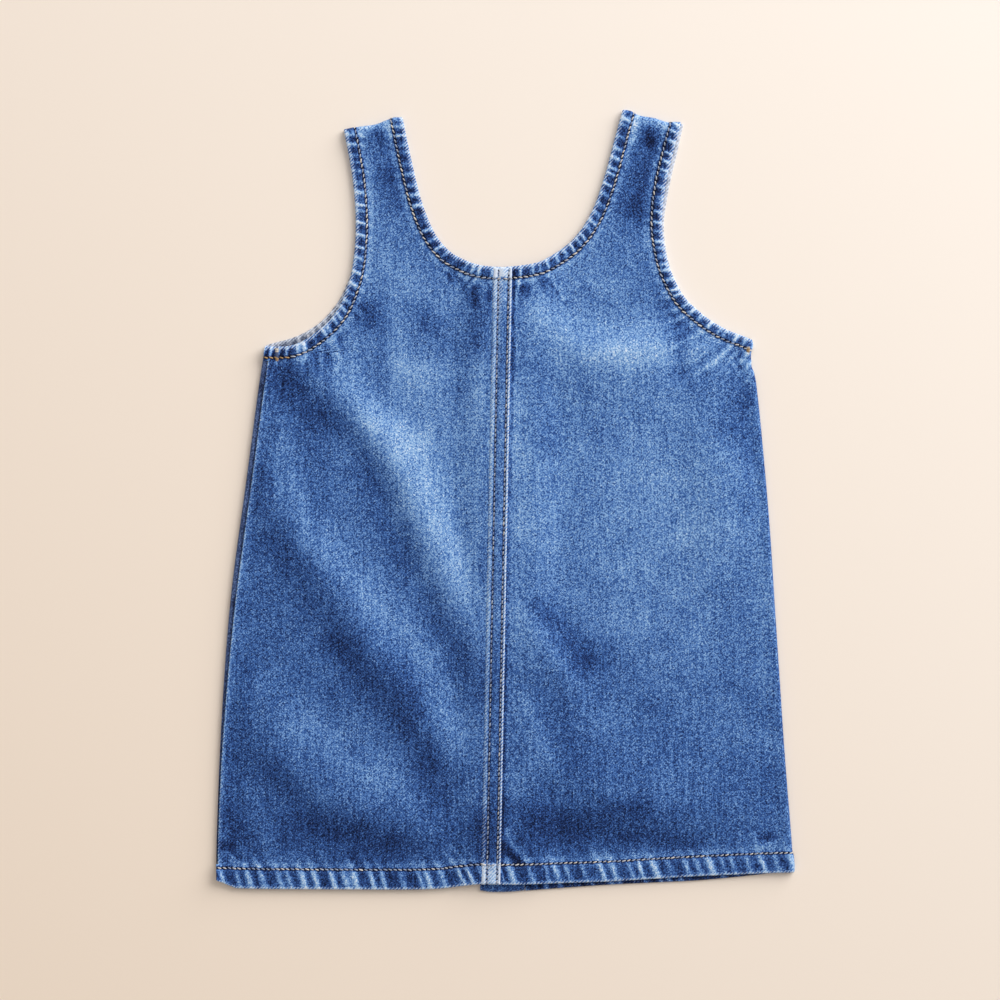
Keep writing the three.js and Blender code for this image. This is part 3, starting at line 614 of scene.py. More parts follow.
def left_strip(y):
    """Width of the strip of front that shows on top along the left side: it narrows towards the hem."""
    share = smooth((LEFT_STRIP["from_y"] - y) / (LEFT_STRIP["from_y"] - LEFT_STRIP["to_y"]))
    return LEFT_STRIP["wide"] + (LEFT_STRIP["narrow"] - LEFT_STRIP["wide"]) * share


def within_side(x, y, z):
    """Keeps what runs past the left side inside it, and squeezes the corner of the hem upwards, by more the
    nearer it is to the side, while its row of stitches stays level."""
    near_side = np.clip(1 - (x - SIDE["left"][0][0]) / CORNER_CUT["wide"], 0, 1) ** 1.15
    below_row = np.clip((CORNER_CUT["row_y"] - y) / CORNER_CUT["depth"], 0, 1.05)
    return np.maximum(x, side_x("left", y) + 0.15), y + CORNER_CUT["high"] * near_side * below_row, z


fold_back = {
    "left": lambda x, y, z: within_side(*over_shoulder("left", x, y, z)),
    "right": lambda x, y, z: under_side(*over_shoulder("right", x, y, z)),
}
fold_front = {"left": up_side, "right": as_drawn}

# %% [markdown]
# ## Skins
#
# Every piece of cloth is a closed skin over rings of points, like a flattened tube. A panel's ring runs along
# its upper face and back along its lower face. A hem's ring runs over the turned edge and back underneath.
# Vertex attributes carry how washed the cloth is, with painted shade of creases, seams and rolls in it,
# how worn it is at each point, and where the needle went.

# %% Skin maker


def ring_faces(count, around):
    """Quads that join each ring to the next, and ladders of quads that close the first and the last ring."""
    index = np.arange(count * around).reshape(count, around)
    a, b = index[:-1], index[1:]
    walls = np.stack([a, np.roll(a, -1, 1), np.roll(b, -1, 1), b], -1).reshape(-1, 4)
    k = np.arange(around // 2 - 1)
    first, last = index[0], index[-1]
    start = np.stack([first[k + 1], first[k], first[around - 1 - k], first[around - 2 - k]], -1)
    end = np.stack([last[k], last[k + 1], last[around - 2 - k], last[around - 1 - k]], -1)
    return np.vstack([walls, start, end])


def volume_sign(points, faces):
    """1 where the faces of a closed skin point out, and -1 where they point in."""
    a, b, c, d = (points[faces[:, k]] for k in range(4))
    spread = (a * np.cross(b, c)).sum() + (a * np.cross(c, d)).sum()
    return 1 if spread > 0 else -1


def make_piece(name, points, faces, marks, materials, kinds=None):
    """A mesh object from points in metres and quads, with float marks on its points. kinds gives each face's
    material."""
    points = points.reshape(-1, 3)
    if volume_sign(points, faces) < 0:
        faces = faces[:, ::-1]
    mesh = bpy.data.meshes.new(name)
    mesh.from_pydata(points.tolist(), [], faces.tolist())
    mesh.polygons.foreach_set("use_smooth", np.ones(len(faces), bool))
    for material in materials:
        mesh.materials.append(material)
    if kinds is not None:
        mesh.polygons.foreach_set("material_index", kinds.astype(np.int32))
    for key, value in marks.items():
        vector = np.ndim(value) and np.shape(value)[-1] == 3 and key == "needle"
        layer = mesh.attributes.new(key, "FLOAT_VECTOR" if vector else "FLOAT", "POINT")
        layer.data.foreach_set("vector" if vector else "value", np.ravel(value).astype(np.float32))
    mesh.update()
    piece = bpy.data.objects.new(name, mesh)
    bpy.context.scene.collection.objects.link(piece)
    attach(piece, "root")
    print(name, "triangles:", 2 * len(faces))
    return piece


def make_skin(name, x, y, z, marks, materials, upper_columns=None):
    """A closed skin over rings of drawing points. Ring columns from upper_columns on have the second
    material."""
    faces = ring_faces(*x.shape)
    kinds = None
    if upper_columns is not None:
        kinds = (faces.min(1) % x.shape[1] >= upper_columns).astype(int)
    return make_piece(name, placed(x, y, z), faces, marks, materials, kinds)


# %% [markdown]
# ## Puckers along a stitched edge
#
# A turned edge is longer or shorter than the row that it is stitched to, and after washing it ropes: short
# ridges cross the hem, one every few millimetres, no two alike. Their crests are rubbed almost white and
# their hollows keep the dark dye. Beyond the stitching they run out into the cloth as small pleats.

# %% Ropes
PITCH = 3.15
ROPE_MEAN = 0.36
ROPE_TOP = 0.85
PLEAT_WASH = 0.75
RUBBED_STRIP = {"wide": (0.3, 2.1), "narrow": (0.6, 3.3)}


def rope_wash(part, ridge, swell):
    """How a hem's ridges change its dye, by a part: crests lose it and hollows keep it, and both less where
    the ridges are held down."""
    return part * (np.minimum(ridge, ROPE_TOP) - ROPE_MEAN) * (0.35 + 0.65 * swell)


def welt(past):
    """The pale welt that follows a row of stitches, from the distance past the row."""
    return 0.14 * hump(past - 2.6, 2.0)


class Edge:
    """A stitched edge: its path, how deep its row of stitches lies, and the ridges that cross it. reach is
    two lists, of lengths along the edge and of how far ridges run out into the cloth there."""

    def __init__(self, points, turn, depth, spacing, slant, reach, seed):
        self.path, self.depth, self.slant, self.reach = Path(points, turn), depth, slant, reach
        self.strip = RUBBED_STRIP["wide" if depth > 10 else "narrow"]
        rng = np.random.default_rng(seed)
        count = int(self.path.length / spacing * 1.4) + 8
        places = np.cumsum(rng.uniform(0.6, 1.4, count) * spacing) - 3 * spacing
        heights = rng.uniform(0.35, 1.0, places.size)
        widths = spacing * rng.uniform(0.14, 0.28, places.size)
        self.fine = np.arange(-20, self.path.length + 20, 0.25)
        bells = heights * hump(self.fine[:, None] - places, widths)
        self.ridges = bells.sum(1)
        self.lengths = np.interp(self.fine, places, rng.uniform(0.25, 1.0, places.size) ** 1.5)

    def rope(self, s, d):
        """How high the ridges are at a point, from 0 to about 1. They lean by slant for each millimetre in,
        and more beyond the stitches."""
        past = d - self.depth
        return np.interp(s + self.slant * (past + 0.8 * np.maximum(past, 0)), self.fine, self.ridges)

    def swell(self, s, d):
        """How much of a ridge is left: held down at the stitches, full in the hem, fading into the cloth."""
        in_hem = 0.25 + 0.75 * np.sin(np.pi * np.clip(d / self.depth, 0.12, 1))
        past = np.maximum(d - self.depth, 0)
        reach = np.interp(s, *self.reach) * np.interp(s, self.fine, self.lengths)
        in_cloth = (0.45 + 0.55 * smooth(past / 3)) * np.exp(-past / np.maximum(reach, 1.0))
        return np.where(d < self.depth, in_hem, in_cloth)


HEM_DEPTH = 12.6
NECK_DEPTH = 6.1
BACK_DEPTHS = {
    ("left", "neck"): 7.4,
    ("left", "armhole"): 7.0,
    ("right", "neck"): 7.4,
    ("right", "armhole"): 6.5,
}
RUN_ON = FOLD_LEG + ROLL_ARC


def on(points, run):
    """A list of points carried straight on past its last one."""
    a, b = np.array(points[-2], float), np.array(points[-1], float)
    return [*points, tuple(b + (b - a) / np.hypot(*(b - a)) * run)]


def back_edges(name):
    """The neck, armhole and hem of one half of the back, each from the centre or the strap's end outwards."""
    out = OUT[name]
    shoulder = RUN_ON - FOLD_RADIUS
    neck = on(NECK[name], shoulder)
    armhole = on(ARMHOLE[name], shoulder)
    if name == "right":
        armhole = on(armhole[::-1], shoulder)[::-1]
        hem = on(HEM[name], shoulder)
    else:
        armhole = [(-154.9, 99.1), *armhole[1:]]
        hem = [*HEM[name][:-1], (-185.5, -248.2), (-190.0, -248.0)]
    seed = 11 if name == "left" else 23
    neck_depth, armhole_depth = BACK_DEPTHS[name, "neck"], BACK_DEPTHS[name, "armhole"]
    return {
        "neck": Edge(neck, -out, neck_depth, 6.0, 0.15 * out, ((20, 60), (12, 4)), seed),
        "armhole": Edge(armhole, out, armhole_depth, 5.8, -0.2 * out, ((45, 75), (20, 4)), seed + 1),
        "hem": Edge(hem, out, HEM_DEPTH, 8.8, 0.3 * out, ((0, 1), (8, 8)), seed + 2),
    }


BACK_EDGES = {name: back_edges(name) for name in OUT}
LIFTS = {"neck": 0.55, "armhole": 0.6, "hem": 0.6}
WASHES = {"neck": 0.84, "armhole": 0.84, "hem": 0.76}


def pucker(edges, x, y):
    """Height and wash that the puckers of these edges add to the cloth beyond their stitches."""
    lift, wash = np.zeros(x.shape), np.zeros(x.shape)
    for kind, edge in edges.items():
        s, d = edge.path.near(x, y)
        past = d - edge.depth
        outside = past > 0
        rope, swell = edge.rope(s, d), edge.swell(s, d)
        lift += np.where(outside, LIFTS[kind] * rope * swell, 0)
        wash += np.where(outside, PLEAT_WASH * (rope - ROPE_MEAN) * swell + welt(past), 0)
    return lift, wash


# %% [markdown]
# ## Denim
#
# Denim is a 3/1 twill: indigo warp threads float over three white weft threads, so fine lines lean over its
# face and flecks of white show between them. Stone washing takes the dye off in flecks, in streaks along the
# warp and on everything that stands proud. The real weave is about 0.4 mm a thread, finer than one pixel of
# the photo, so its flecks and lines are drawn 0.7 to 1.6 mm apart, as the photo shows them.

# %% Denim
FACE_DYES = [(0.0, "#0b1632"), (0.2, "#1e3468"), (0.4, "#345a9c"), (0.5, "#4b76b9"), (0.62, "#6d97d0"),
             (0.76, "#8db4e0"), (0.9, "#b2d0ee"), (1.0, "#d6e4f5")]
FOLD_DYES = [(0.0, "#16203e"), (0.25, "#384a75"), (0.5, "#5f77aa"), (0.75, "#90a8d2"), (1.0, "#ccd8ec")]
REVERSE_DYES = [(0.0, "#2a3142"), (0.3, "#5d6880"), (0.6, "#8f98ab"), (1.0, "#cdd0d8")]
FLECK = {"angle": -1.0, "long": 1.05, "wide": 0.7}
THREAD_CELL = 0.68
TWILL_SPACING = 1.55
GRAINS = {"fleck": 0.67, "salt": 0.41, "twill": 0.06, "warp": 0.34, "cloud": 0.22}
# Painted shade of the needle holes, with the depth of their dent, and painted shade along each row's groove
HOLE_SHADE_AND_DENT = {"dark": 0.35, "clear": 1.02, "colour": "#10162c", "deep": -2.5}
GROOVE_SHADE = {"dark": 0.5, "clear": 1.5, "wash": -0.34}
BARE = {"fleck": 0.7, "twill": 0.8, "from": 1.15, "to": 1.85, "colour": "#d3dff2"}
DENIM_SHADER = {"Roughness": 0.92, "Specular IOR Level": 0.04, "Sheen Weight": 0.04, "Sheen Roughness": 0.6}


def make_denim(name, dyes):
    """Washed indigo twill. wash is the dye's level, with painted highlight and shade of creases, seams and
    rolls in it, wear is how far it is rubbed bare, and needle is stitches along a row and the distance from
    one or two rows in millimetres. Needle holes and the grooves of the rows get painted shade."""
    material, tree, shader, place = new_material(name, DENIM_SHADER)
    mm = moved(tree, place, scale=(1000, 1000, 1000))
    lean = {"Vector": mm, "Rotation": (0, 0, FLECK["angle"])}
    turned = add(tree, "ShaderNodeMapping", lean, vector_type="TEXTURE").outputs[0]
    fleck_place = moved(tree, turned, scale=(1 / FLECK["long"], 1 / FLECK["wide"], 1 / FLECK["wide"]))
    cell = add(tree, "ShaderNodeTexVoronoi", {"Vector": mm, "Scale": 1 / THREAD_CELL}).outputs["Color"]
    lines = {"Vector": moved(tree, mm, rotation=(0, 0, np.pi / 4)), "Scale": 2 * np.pi / 20 / TWILL_SPACING,
             "Distortion": 1.0, "Detail": 1.0, "Detail Scale": 0.5}
    grains = {
        "fleck": noise(tree, fleck_place, 1.0, 1.5),
        "salt": add(tree, "ShaderNodeSeparateColor", {0: cell}).outputs[0],
        "twill": add(tree, "ShaderNodeTexWave", lines, bands_direction="X").outputs["Fac"],
        "warp": noise(tree, moved(tree, mm, scale=(0.9, 0.035, 0.3)), 1.0, 2.0),
        "cloud": noise(tree, mm, 0.045, 3.0),
    }
    fleck, twill = grains["fleck"], grains["twill"]
    level = calc(tree, "ADD", read_mark(tree, "wash"), -0.5 * sum(GRAINS.values()))
    for grain, part in GRAINS.items():
        level = calc(tree, "MULTIPLY_ADD", grains[grain], part, level)
    # The distance from the nearest row of stitches and from the nearest of its holes
    part = add(tree, "ShaderNodeSeparateXYZ", {0: read_mark(tree, "needle", "Vector")}).outputs
    off_row = calc(tree, "MINIMUM", *(calc(tree, "ABSOLUTE", part[k]) for k in (1, 2)))
    share = calc(tree, "FRACT", calc(tree, "ADD", part[0], 0.5))
    off_hole = calc(tree, "MULTIPLY_ADD", share, PITCH, -PITCH / 2)
    spot = add(tree, "ShaderNodeCombineXYZ", {0: off_hole, 1: off_row}).outputs[0]
    distance = add(tree, "ShaderNodeVectorMath", {0: spot}, operation="LENGTH").outputs["Value"]
    # Painted shade: near black in the needle holes, which the bump also dents, and darker in each row's
    # groove
    hole = {0: distance, 1: HOLE_SHADE_AND_DENT["dark"], 2: HOLE_SHADE_AND_DENT["clear"], 3: 1.0, 4: 0.0}
    hole = add(tree, "ShaderNodeMapRange", hole, interpolation_type="SMOOTHSTEP").outputs[0]
    groove = {0: off_row, 1: GROOVE_SHADE["dark"], 2: GROOVE_SHADE["clear"], 3: GROOVE_SHADE["wash"], 4: 0.0}
    groove = add(tree, "ShaderNodeMapRange", groove).outputs[0]
    dyed = colour_ramp(tree, calc(tree, "ADD", level, groove), dyes)
    # Where the dye is rubbed off
    rubbed = calc(tree, "MULTIPLY_ADD", fleck, BARE["fleck"], read_mark(tree, "wear"))
    rubbed = calc(tree, "MULTIPLY_ADD", twill, BARE["twill"], rubbed)
    bare = {0: rubbed, 1: BARE["from"], 2: BARE["to"]}
    bare = add(tree, "ShaderNodeMapRange", bare, interpolation_type="SMOOTHSTEP").outputs[0]
    colour = mix(tree, hole, mix(tree, bare, dyed, BARE["colour"]), HOLE_SHADE_AND_DENT["colour"])
    tree.links.new(colour, shader.inputs["Base Color"])
    relief = calc(tree, "MULTIPLY_ADD", twill, 0.5, fleck)
    relief = calc(tree, "MULTIPLY_ADD", hole, HOLE_SHADE_AND_DENT["deep"], relief)
    bump = add(tree, "ShaderNodeBump", {"Height": relief, "Distance": 0.0003, "Strength": 0.6}).outputs[0]
    tree.links.new(bump, shader.inputs["Normal"])
    return material


denim_face = make_denim("washed_indigo_twill", FACE_DYES)
denim_reverse = make_denim("twill_reverse", REVERSE_DYES)
denim_fold = make_denim("greyed_side_fold", FOLD_DYES)

# %% Thread


THREAD_SHADES = [(0.05, "#202c52"), (0.35, "#62749c"), (0.6, "#9da8bb"), (0.8, "#d3cec6"), (0.94, "#e6dccd"),
                 (1.0, "#b39264")]


def make_thread():
    """Spun polyester topstitching thread. tone is each stitch's own shade: dark from the denim's dye, then
    ever paler, and at 1 the tan that it had at first."""
    settings = {"Roughness": 0.7, "Specular IOR Level": 0.2, "Sheen Weight": 0.2}
    material, tree, shader, place = new_material("tan_spun_thread", settings)
    shade = calc(tree, "MULTIPLY_ADD", noise(tree, place, 1400.0, 1.0), 0.16, read_mark(tree, "tone"))
    tree.links.new(colour_ramp(tree, shade, THREAD_SHADES), shader.inputs["Base Color"])
    return material


thread = make_thread()

# %% [markdown]
# ## The back panels
#
# A panel is a sheet between an inner edge (the centre seam, then the neck) and an outer edge (the side, then
# the armhole). Level rows of points run from one to the other, the lowest following the hem and the highest
# the end of the strap. The sheet stops inside the turned edges, which are pieces of their own over it, so its
# own rim never shows there. Its puckers come from how far each point is from each stitched edge.

# %% Panel plan
RIM_INSET = 2.6
HEM_INSET = 3.4


def rising(points):
    """Only the points of a line that are higher than all before them."""
    highest = np.maximum.accumulate(points[:, 1])
    keep = np.concatenate([[True], points[1:, 1] > highest[:-1] + 1e-6])
    return points[keep]


def inset_line(edge, start):
    """The line that runs inside an edge, from a length start on."""
    s = np.arange(start, edge.path.length, 1.0)
    return np.column_stack(edge.path.at(s, np.full(s.size, RIM_INSET)))


def sheet_plan(inner, outer, hem_y, top_y, fold_width, rows, columns):
    """Plan points in level rows between two lines. The lowest rows bend to the hem's height at each x and the
    highest to the strap's end. The last columns, within fold_width of the outer line, are closer together."""
    main, folded = columns
    low, high = hem_y(inner[0, 0]), top_y((inner[-1, 0] + outer[-1, 0]) / 2)
    level = np.linspace(low, high, rows + 1)[:, None]
    follow_hem = 1 - smooth((level - low) / 60)
    follow_strap = 1 - smooth((high - level) / 60)
    bend = lambda x: (hem_y(x) - low) * follow_hem + (top_y(x) - high) * follow_strap
    edge_x = lambda line, y: np.interp(y, line[:, 1], line[:, 0])
    first, last = edge_x(inner, level), edge_x(outer, level)
    first, last = edge_x(inner, level + bend(first)), edge_x(outer, level + bend(last))
    way = np.sign(outer[0, 0] - inner[0, 0])
    start = last - way * fold_width(level)
    share = np.linspace(0, 1, main + 1)
    tail = np.linspace(0, 1, folded + 1)[1:]
    x = np.hstack([first + (start - first) * share, start + (last - start) * tail])
    return x, level + bend(x)


def upward(points):
    """The height of a line at each x, for a line that runs sideways."""
    order = np.argsort(points[:, 0])
    return lambda x: np.interp(x, points[order, 0], points[order, 1])


def there_and_back(upper, lower=None):
    """Values along the upper face of a sheet and back along its lower face, which may have its own."""
    lower = upper if lower is None else lower
    return np.concatenate([upper, lower[:, ::-1]], 1)


def sheet_rings(x, y, upper, lower):
    """Rings along the upper face of a sheet and back along its lower face."""
    return there_and_back(x), there_and_back(y), there_and_back(upper, lower)


def panel_plan(edges, seam, side, armhole_start, fold_width, top_y, rows, columns):
    """Plan points of a panel. Inside are its seam and then its neck, outside its side and then its
    armhole."""
    inner = rising(np.vstack([seam, inset_line(edges["neck"], 0.5)]))
    outer = rising(np.vstack([side, inset_line(edges["armhole"], armhole_start)]))
    hem_y = upward(edges["hem"].path.points)
    return sheet_plan(inner, outer, lambda x: hem_y(x) + HEM_INSET, top_y, fold_width, rows, columns)


FAR = 90.0
NO_ROW = (0.5, FAR, FAR)
BASE_WASH = 0.44
PLAIN_FOLD = 1.6


def round_rim(distance, thick, radius):
    """How much of a sheet's thickness is left near its rim: a quarter circle of this radius."""
    near = np.clip(distance / radius, 0, 1)
    return thick * np.sqrt(np.maximum(1 - (1 - near) ** 2, 0.02))


# %% Back panels
BACK_ROWS = 372
BACK_COLUMNS = {"left": (112, 6), "right": (104, 14)}


def back_panel(name):
    """One half of the back as a sheet from the centre seam to its side, hem to over the shoulder."""
    out, edges = OUT[name], BACK_EDGES[name]
    seam_y = np.linspace(-255, NECK[name][0][1] - RIM_INSET, 200)
    seam = np.column_stack([line_x(SEAM_LINE, seam_y) + out * GAP / 2, seam_y])
    side_y = np.linspace(-255, side_line[name][-1, 1] - RIM_INSET - 0.5, 240)
    if name == "left":
        side_at = side_x(name, side_y) + left_strip(side_y) + GAP
        start, fold_width = 1.0, lambda y: PLAIN_FOLD + 0 * y
    else:
        side_at = side_x(name, side_y) + RUN_ON - FOLD_RADIUS
        start, fold_width = 7.0, lambda y: 2 + (RUN_ON - 2) * smooth((99 - y) / 3)
    side = np.column_stack([side_at, side_y])
    top_y = lambda at: strap_top_y(at) + RUN_ON - FOLD_RADIUS
    x, y = panel_plan(edges, seam, side, start, fold_width, top_y, BACK_ROWS, BACK_COLUMNS[name])
    low, wash = back_form(x, y)
    lift, more = pucker(edges, x, y)
    upper = low + CLOTH + lift
    lower = low + 0.5 * lift
    wear = np.zeros(x.shape)
    if name == "left":
        from_rim = np.abs(x[:, -1:] - x)
        body = smooth((101 - y) / 4)
        thick = round_rim(from_rim, 1.0, 0.9)
        upper = upper - 0.55 * CLOTH * (1 - thick) * body
        lower = lower + 0.45 * CLOTH * (1 - thick) * body
        wear = 0.35 * hump(from_rim, 1.3) * body
        more = more + (0.24 * hump(from_rim, 1.5) + 0.06 * hump(from_rim, 5.0)) * body
    rings = sheet_rings(x, y, upper, lower)
    folded = fold_back[name](*rings)
    level = BASE_WASH + wash + more
    marks = {
        "wash": there_and_back(level),
        "wear": there_and_back(wear),
        "needle": np.broadcast_to(NO_ROW, (*rings[0].shape, 3)),
    }
    return make_skin(f"back_{name}_panel", *folded, marks, [denim_face, denim_reverse], x.shape[1] - 1)


back_panels = {name: back_panel(name) for name in OUT}

# %% [markdown]
# ## Turned hems
#
# A hem is the same cloth turned in twice and stitched down. It is made as a profile carried along the edge:
# over the top from just beyond the stitches, down into the groove of the stitching, over the full hem, round
# the edge and back underneath. Both ends of the profile sink into the panel, so the seam between the two is
# the groove itself.

# %% Hem maker
EDGE_OUT = 0.25
TAIL = 2.2
HEM_LOOK = {"wash": 0.03, "rim_wash": 0.2, "rim_wear": 0.5, "rim_ridge_wear": 0.25, "crest_wear": 0.3}
CREST = {"from": 0.6, "over": 0.4}


def hem_profile(depth, step):
    """Distances in from the edge and shares of the height, along the top, round the edge and back below."""
    top = np.concatenate([
        [depth + TAIL, depth + 1.6, depth + 1.1, depth + 0.7, depth + 0.35, depth, depth - 0.35, depth - 0.8],
        np.arange(depth - 1.4, 1.3, -step),
    ])
    turn = np.linspace(np.pi / 2, -np.pi / 2, 9)
    round_edge = -EDGE_OUT + 1.0 * (1 - np.cos(turn))
    below = np.array([2.0, 4.5, depth, depth + TAIL])
    d = np.concatenate([top, round_edge, below])
    share = np.concatenate([np.ones(top.size), (1 + np.sin(turn)) / 2, np.zeros(below.size)])
    if d.size % 2:
        d, share = np.insert(d, -1, depth + 1), np.insert(share, -1, 0)
    return d, share


def hem_rise(d, depth):
    """How far the hem stands above the panel, as a share of its extra thickness: full over the hem, a groove
    at the stitches, a low welt beyond them, and then below the panel's face."""
    past, rise = [-1.7, -0.7, 0, 0.8, TAIL], [1, 1, 0.6, 0.12, 0.32, -0.4]
    return np.interp(d, [0, *(depth + step for step in past)], rise)


class Hem:
    """A turned edge on a base of two heights, ready to be asked where its surface is."""

    def __init__(self, edge, faces, lift, wash, fold, flip=False):
        self.edge, self.faces, self.fold, self.flip = edge, faces, fold, flip
        self.lift, self.wash = lift, wash

    def surface(self, s, d):
        """Plan point, the heights of its lower and upper surface, and the wash of the cloth under it."""
        x, y = self.edge.path.at(s, d)
        low, high, wash = self.faces(x, y)
        rope = self.edge.rope(s, d) * self.edge.swell(s, d)
        turned = TURNED_EXTRA * hem_rise(d, self.edge.depth)
        if self.flip:
            return x, y, low + 0.5 * self.lift * rope, high + turned + self.lift * rope, wash
        sunk = np.where(d > self.edge.depth + 1, 0.4, -0.03)
        return x, y, low + sunk, high + turned + self.lift * rope, wash


def make_hem(name, hem, step, materials, lower_kind=False, tint=0.0, rubbed=1.0):
    """The skin of a turned edge, with its ropes, its rubbed edge and its needle holes."""
    edge = hem.edge
    d, share = hem_profile(edge.depth, step)
    s = np.linspace(0.1, edge.path.length - 0.1, int(edge.path.length / step))[:, None]
    d, share = np.broadcast_to(d, (s.size, d.size)), np.broadcast_to(share, (s.size, share.size))
    s = np.broadcast_to(s, d.shape)
    x, y, low, high, wash = hem.surface(s, d)
    z = low + (high - low) * share
    ridge = edge.rope(s, d)
    in_hem = smooth((edge.depth - d) / 1.2)
    swell = edge.swell(s, d)
    pleats = PLEAT_WASH * (ridge - ROPE_MEAN) * swell
    level = BASE_WASH + tint + wash + HEM_LOOK["wash"] * in_hem + welt(d - edge.depth) * (1 - in_hem)
    level = level + np.where(d < edge.depth, rope_wash(hem.wash, ridge, swell), pleats)
    full, gone = edge.strip
    rim = smooth((gone - d) / (gone - full)) * rubbed
    crest = smooth((ridge - CREST["from"]) / CREST["over"]) * swell * in_hem
    wear = rim * (HEM_LOOK["rim_wear"] + HEM_LOOK["rim_ridge_wear"] * ridge) + HEM_LOOK["crest_wear"] * crest
    marks = {
        "wash": level + HEM_LOOK["rim_wash"] * rim,
        "wear": wear,
        "needle": np.stack([s / PITCH, d - edge.depth, FAR + 0 * d], -1),
    }
    folded = hem.fold(x, y, z)
    upper = None if not lower_kind else int((share[0] > 0.5).sum())
    return make_skin(name, *folded, marks, materials, upper)


def back_faces(x, y):
    """Heights of the back's lower and upper face, and its wash. The ends of its hems climb over the strip of
    front along the left side."""
    low, wash = back_form(x, y)
    over_strip = 1 - smooth((x - side_x("left", y) - left_strip(y)) / 3)
    low = low + 1.35 * over_strip
    return low, low + CLOTH, wash


# %% Back hems
HEM_STEP = 0.6
back_hems = {
    (name, kind): Hem(edge, back_faces, LIFTS[kind], WASHES[kind], fold_back[name])
    for name in OUT
    for kind, edge in BACK_EDGES[name].items()
}
back_hem_pieces = {
    key: make_hem(
        f"back_{key[0]}_{key[1]}_hem", hem, HEM_STEP, [denim_face], tint=0.05 if key[1] == "hem" else 0.0
    )
    for key, hem in back_hems.items()
}

# %% [markdown]
# ## The felled centre seam
#
# In a flat-felled seam one allowance wraps the other and both are stitched down from the right side in two
# rows. What shows is a band with a soft ridge on its left, where the cloth climbs over the allowance, and a
# crisp folded edge on its right, rubbed white. The band is one profile carried from the hem to the neck.

# %% Fell
SEAM_NECK_DEPTH = BACK_DEPTHS["left", "neck"]
FELL = {"rows": (-2.3, 4.2), "left": -6.3, "right": 6.3, "step": 0.65}
FELL_FOLD = 5.9
FELL_SHAPE = [(-6.3, -0.25), (-5.6, 0.3), (-4.8, 0.72), (-3.9, 0.8), (-3.0, 0.6), (-2.3, 0.3), (-1.6, 0.6),
              (-0.4, 0.85), (1.4, 0.95), (3.0, 0.85), (3.6, 0.7), (4.2, 0.42), (4.7, 0.8), (5.3, 1.05),
              (FELL_FOLD, 1.05)]
FELL_START, FELL_END = SEAM_LINE[0][1], SEAM_LINE[1][1]
FELL_BELOW = [4.0, 0.0, -5.6]
FELL_ROUND = 0.45
FELL_GROUND = -0.04
FELL_WASH = {"fold": 0.3, "ridge": 0.22, "ridge_at_neck": 0.02, "in_hem": 0.38, "at_neck": 0.12,
             "shaded_neck_row": -0.7}
FELL_WEAR = {"fold": 0.8, "ridge": 0.36, "in_hem": 0.55, "at_neck": 0.25, "shaded_neck_row": -1.0}


def in_hems(y, before, fade):
    """1 where the band runs over the hem or the neck's turned edge, fading over a distance past each."""
    in_hem = 1 - smooth((y - FELL_START - HEM_DEPTH + before) / fade[0])
    in_neck = 1 - smooth((FELL_END - y - SEAM_NECK_DEPTH + before) / fade[1])
    return np.maximum(in_hem, in_neck)


def fell_surface(y, across):
    """Plan point and height of the top of the band: the back's face, the hems' extra thickness near the ends,
    and the band's own profile with a slow uneven ripple."""
    x = line_x(SEAM_LINE, y) + across
    low, wash = back_form(x, y)
    shape = np.interp(across, *np.transpose(FELL_SHAPE))
    turned = in_hems(y, 1, (3, 2))
    phase = y + 0.5 * across
    ripple = 0.1 * np.sin(phase / 1.45 + np.sin(phase / 7)) * smooth((6.0 - np.abs(across)) / 2)
    top = low + CLOTH + shape + ripple + (TURNED_EXTRA - 0.15) * turned
    return x, y, low, top, wash


def make_fell():
    """The band's skin: over its top from left to right, round the folded edge, and back below it."""
    left = np.array([p[0] for p in FELL_SHAPE])
    turn = np.linspace(np.pi / 2, -np.pi / 2, 7)[1:]
    edge = FELL_FOLD + FELL_ROUND * np.cos(turn)
    below = np.array(FELL_BELOW)
    across = np.concatenate([left, edge, below])
    share = np.concatenate([np.ones(left.size), (1 + np.sin(turn)) / 2, np.zeros(below.size)])
    start, end = FELL_START, FELL_END
    count = int((end - start) / FELL["step"])
    y = np.linspace(start - 0.15, end + 0.15, count)[:, None]
    across, share = (np.broadcast_to(v, (count, v.size)) for v in (across, share))
    y = np.broadcast_to(y, across.shape)
    x, _, low, top, wash = fell_surface(y, across)
    end_distance = np.minimum(y - start, end - y) + 0.2
    near_end = smooth((8 - end_distance) / 5)
    bottom = low + CLOTH - 0.25 - (CLOTH - 0.3) * near_end * (end_distance < 3)
    z = bottom + (top - bottom) * share
    middle = low + 0.9
    z = middle + (z - middle) * round_rim(end_distance, 1.0, 0.7)
    # Where it is pale and bare: the folded edge, the ridge, which widens towards the neck, and in the hems,
    # but not along the neck's own row of stitches, which is darkened by painted shade in its groove
    near_neck = smooth((y - 20) / 110)
    places = {
        "fold": hump(across - FELL_FOLD, 0.75),
        "ridge": hump(across + 4.9 - 1.6 * near_neck, 1.5 + 1.7 * near_neck),
        "in_hem": in_hems(y, 0, (2, 2)),
        "at_neck": smooth((y - 112) / 30),
        "shaded_neck_row": hump(end - y - SEAM_NECK_DEPTH + 0.3, 0.9),
    }
    places["ridge_at_neck"] = near_neck * places["ridge"]
    level = BASE_WASH + wash + FELL_GROUND + sum(part * places[key] for key, part in FELL_WASH.items())
    wear = sum(part * places[key] for key, part in FELL_WEAR.items())
    needle = np.stack([(y - start) / PITCH, *(1.4 * (across - row) for row in FELL["rows"])], -1)
    marks = {"wash": level, "wear": wear, "needle": needle}
    return make_skin("back_seam_band", x, y, z, marks, [denim_face])


fell_piece = make_fell()

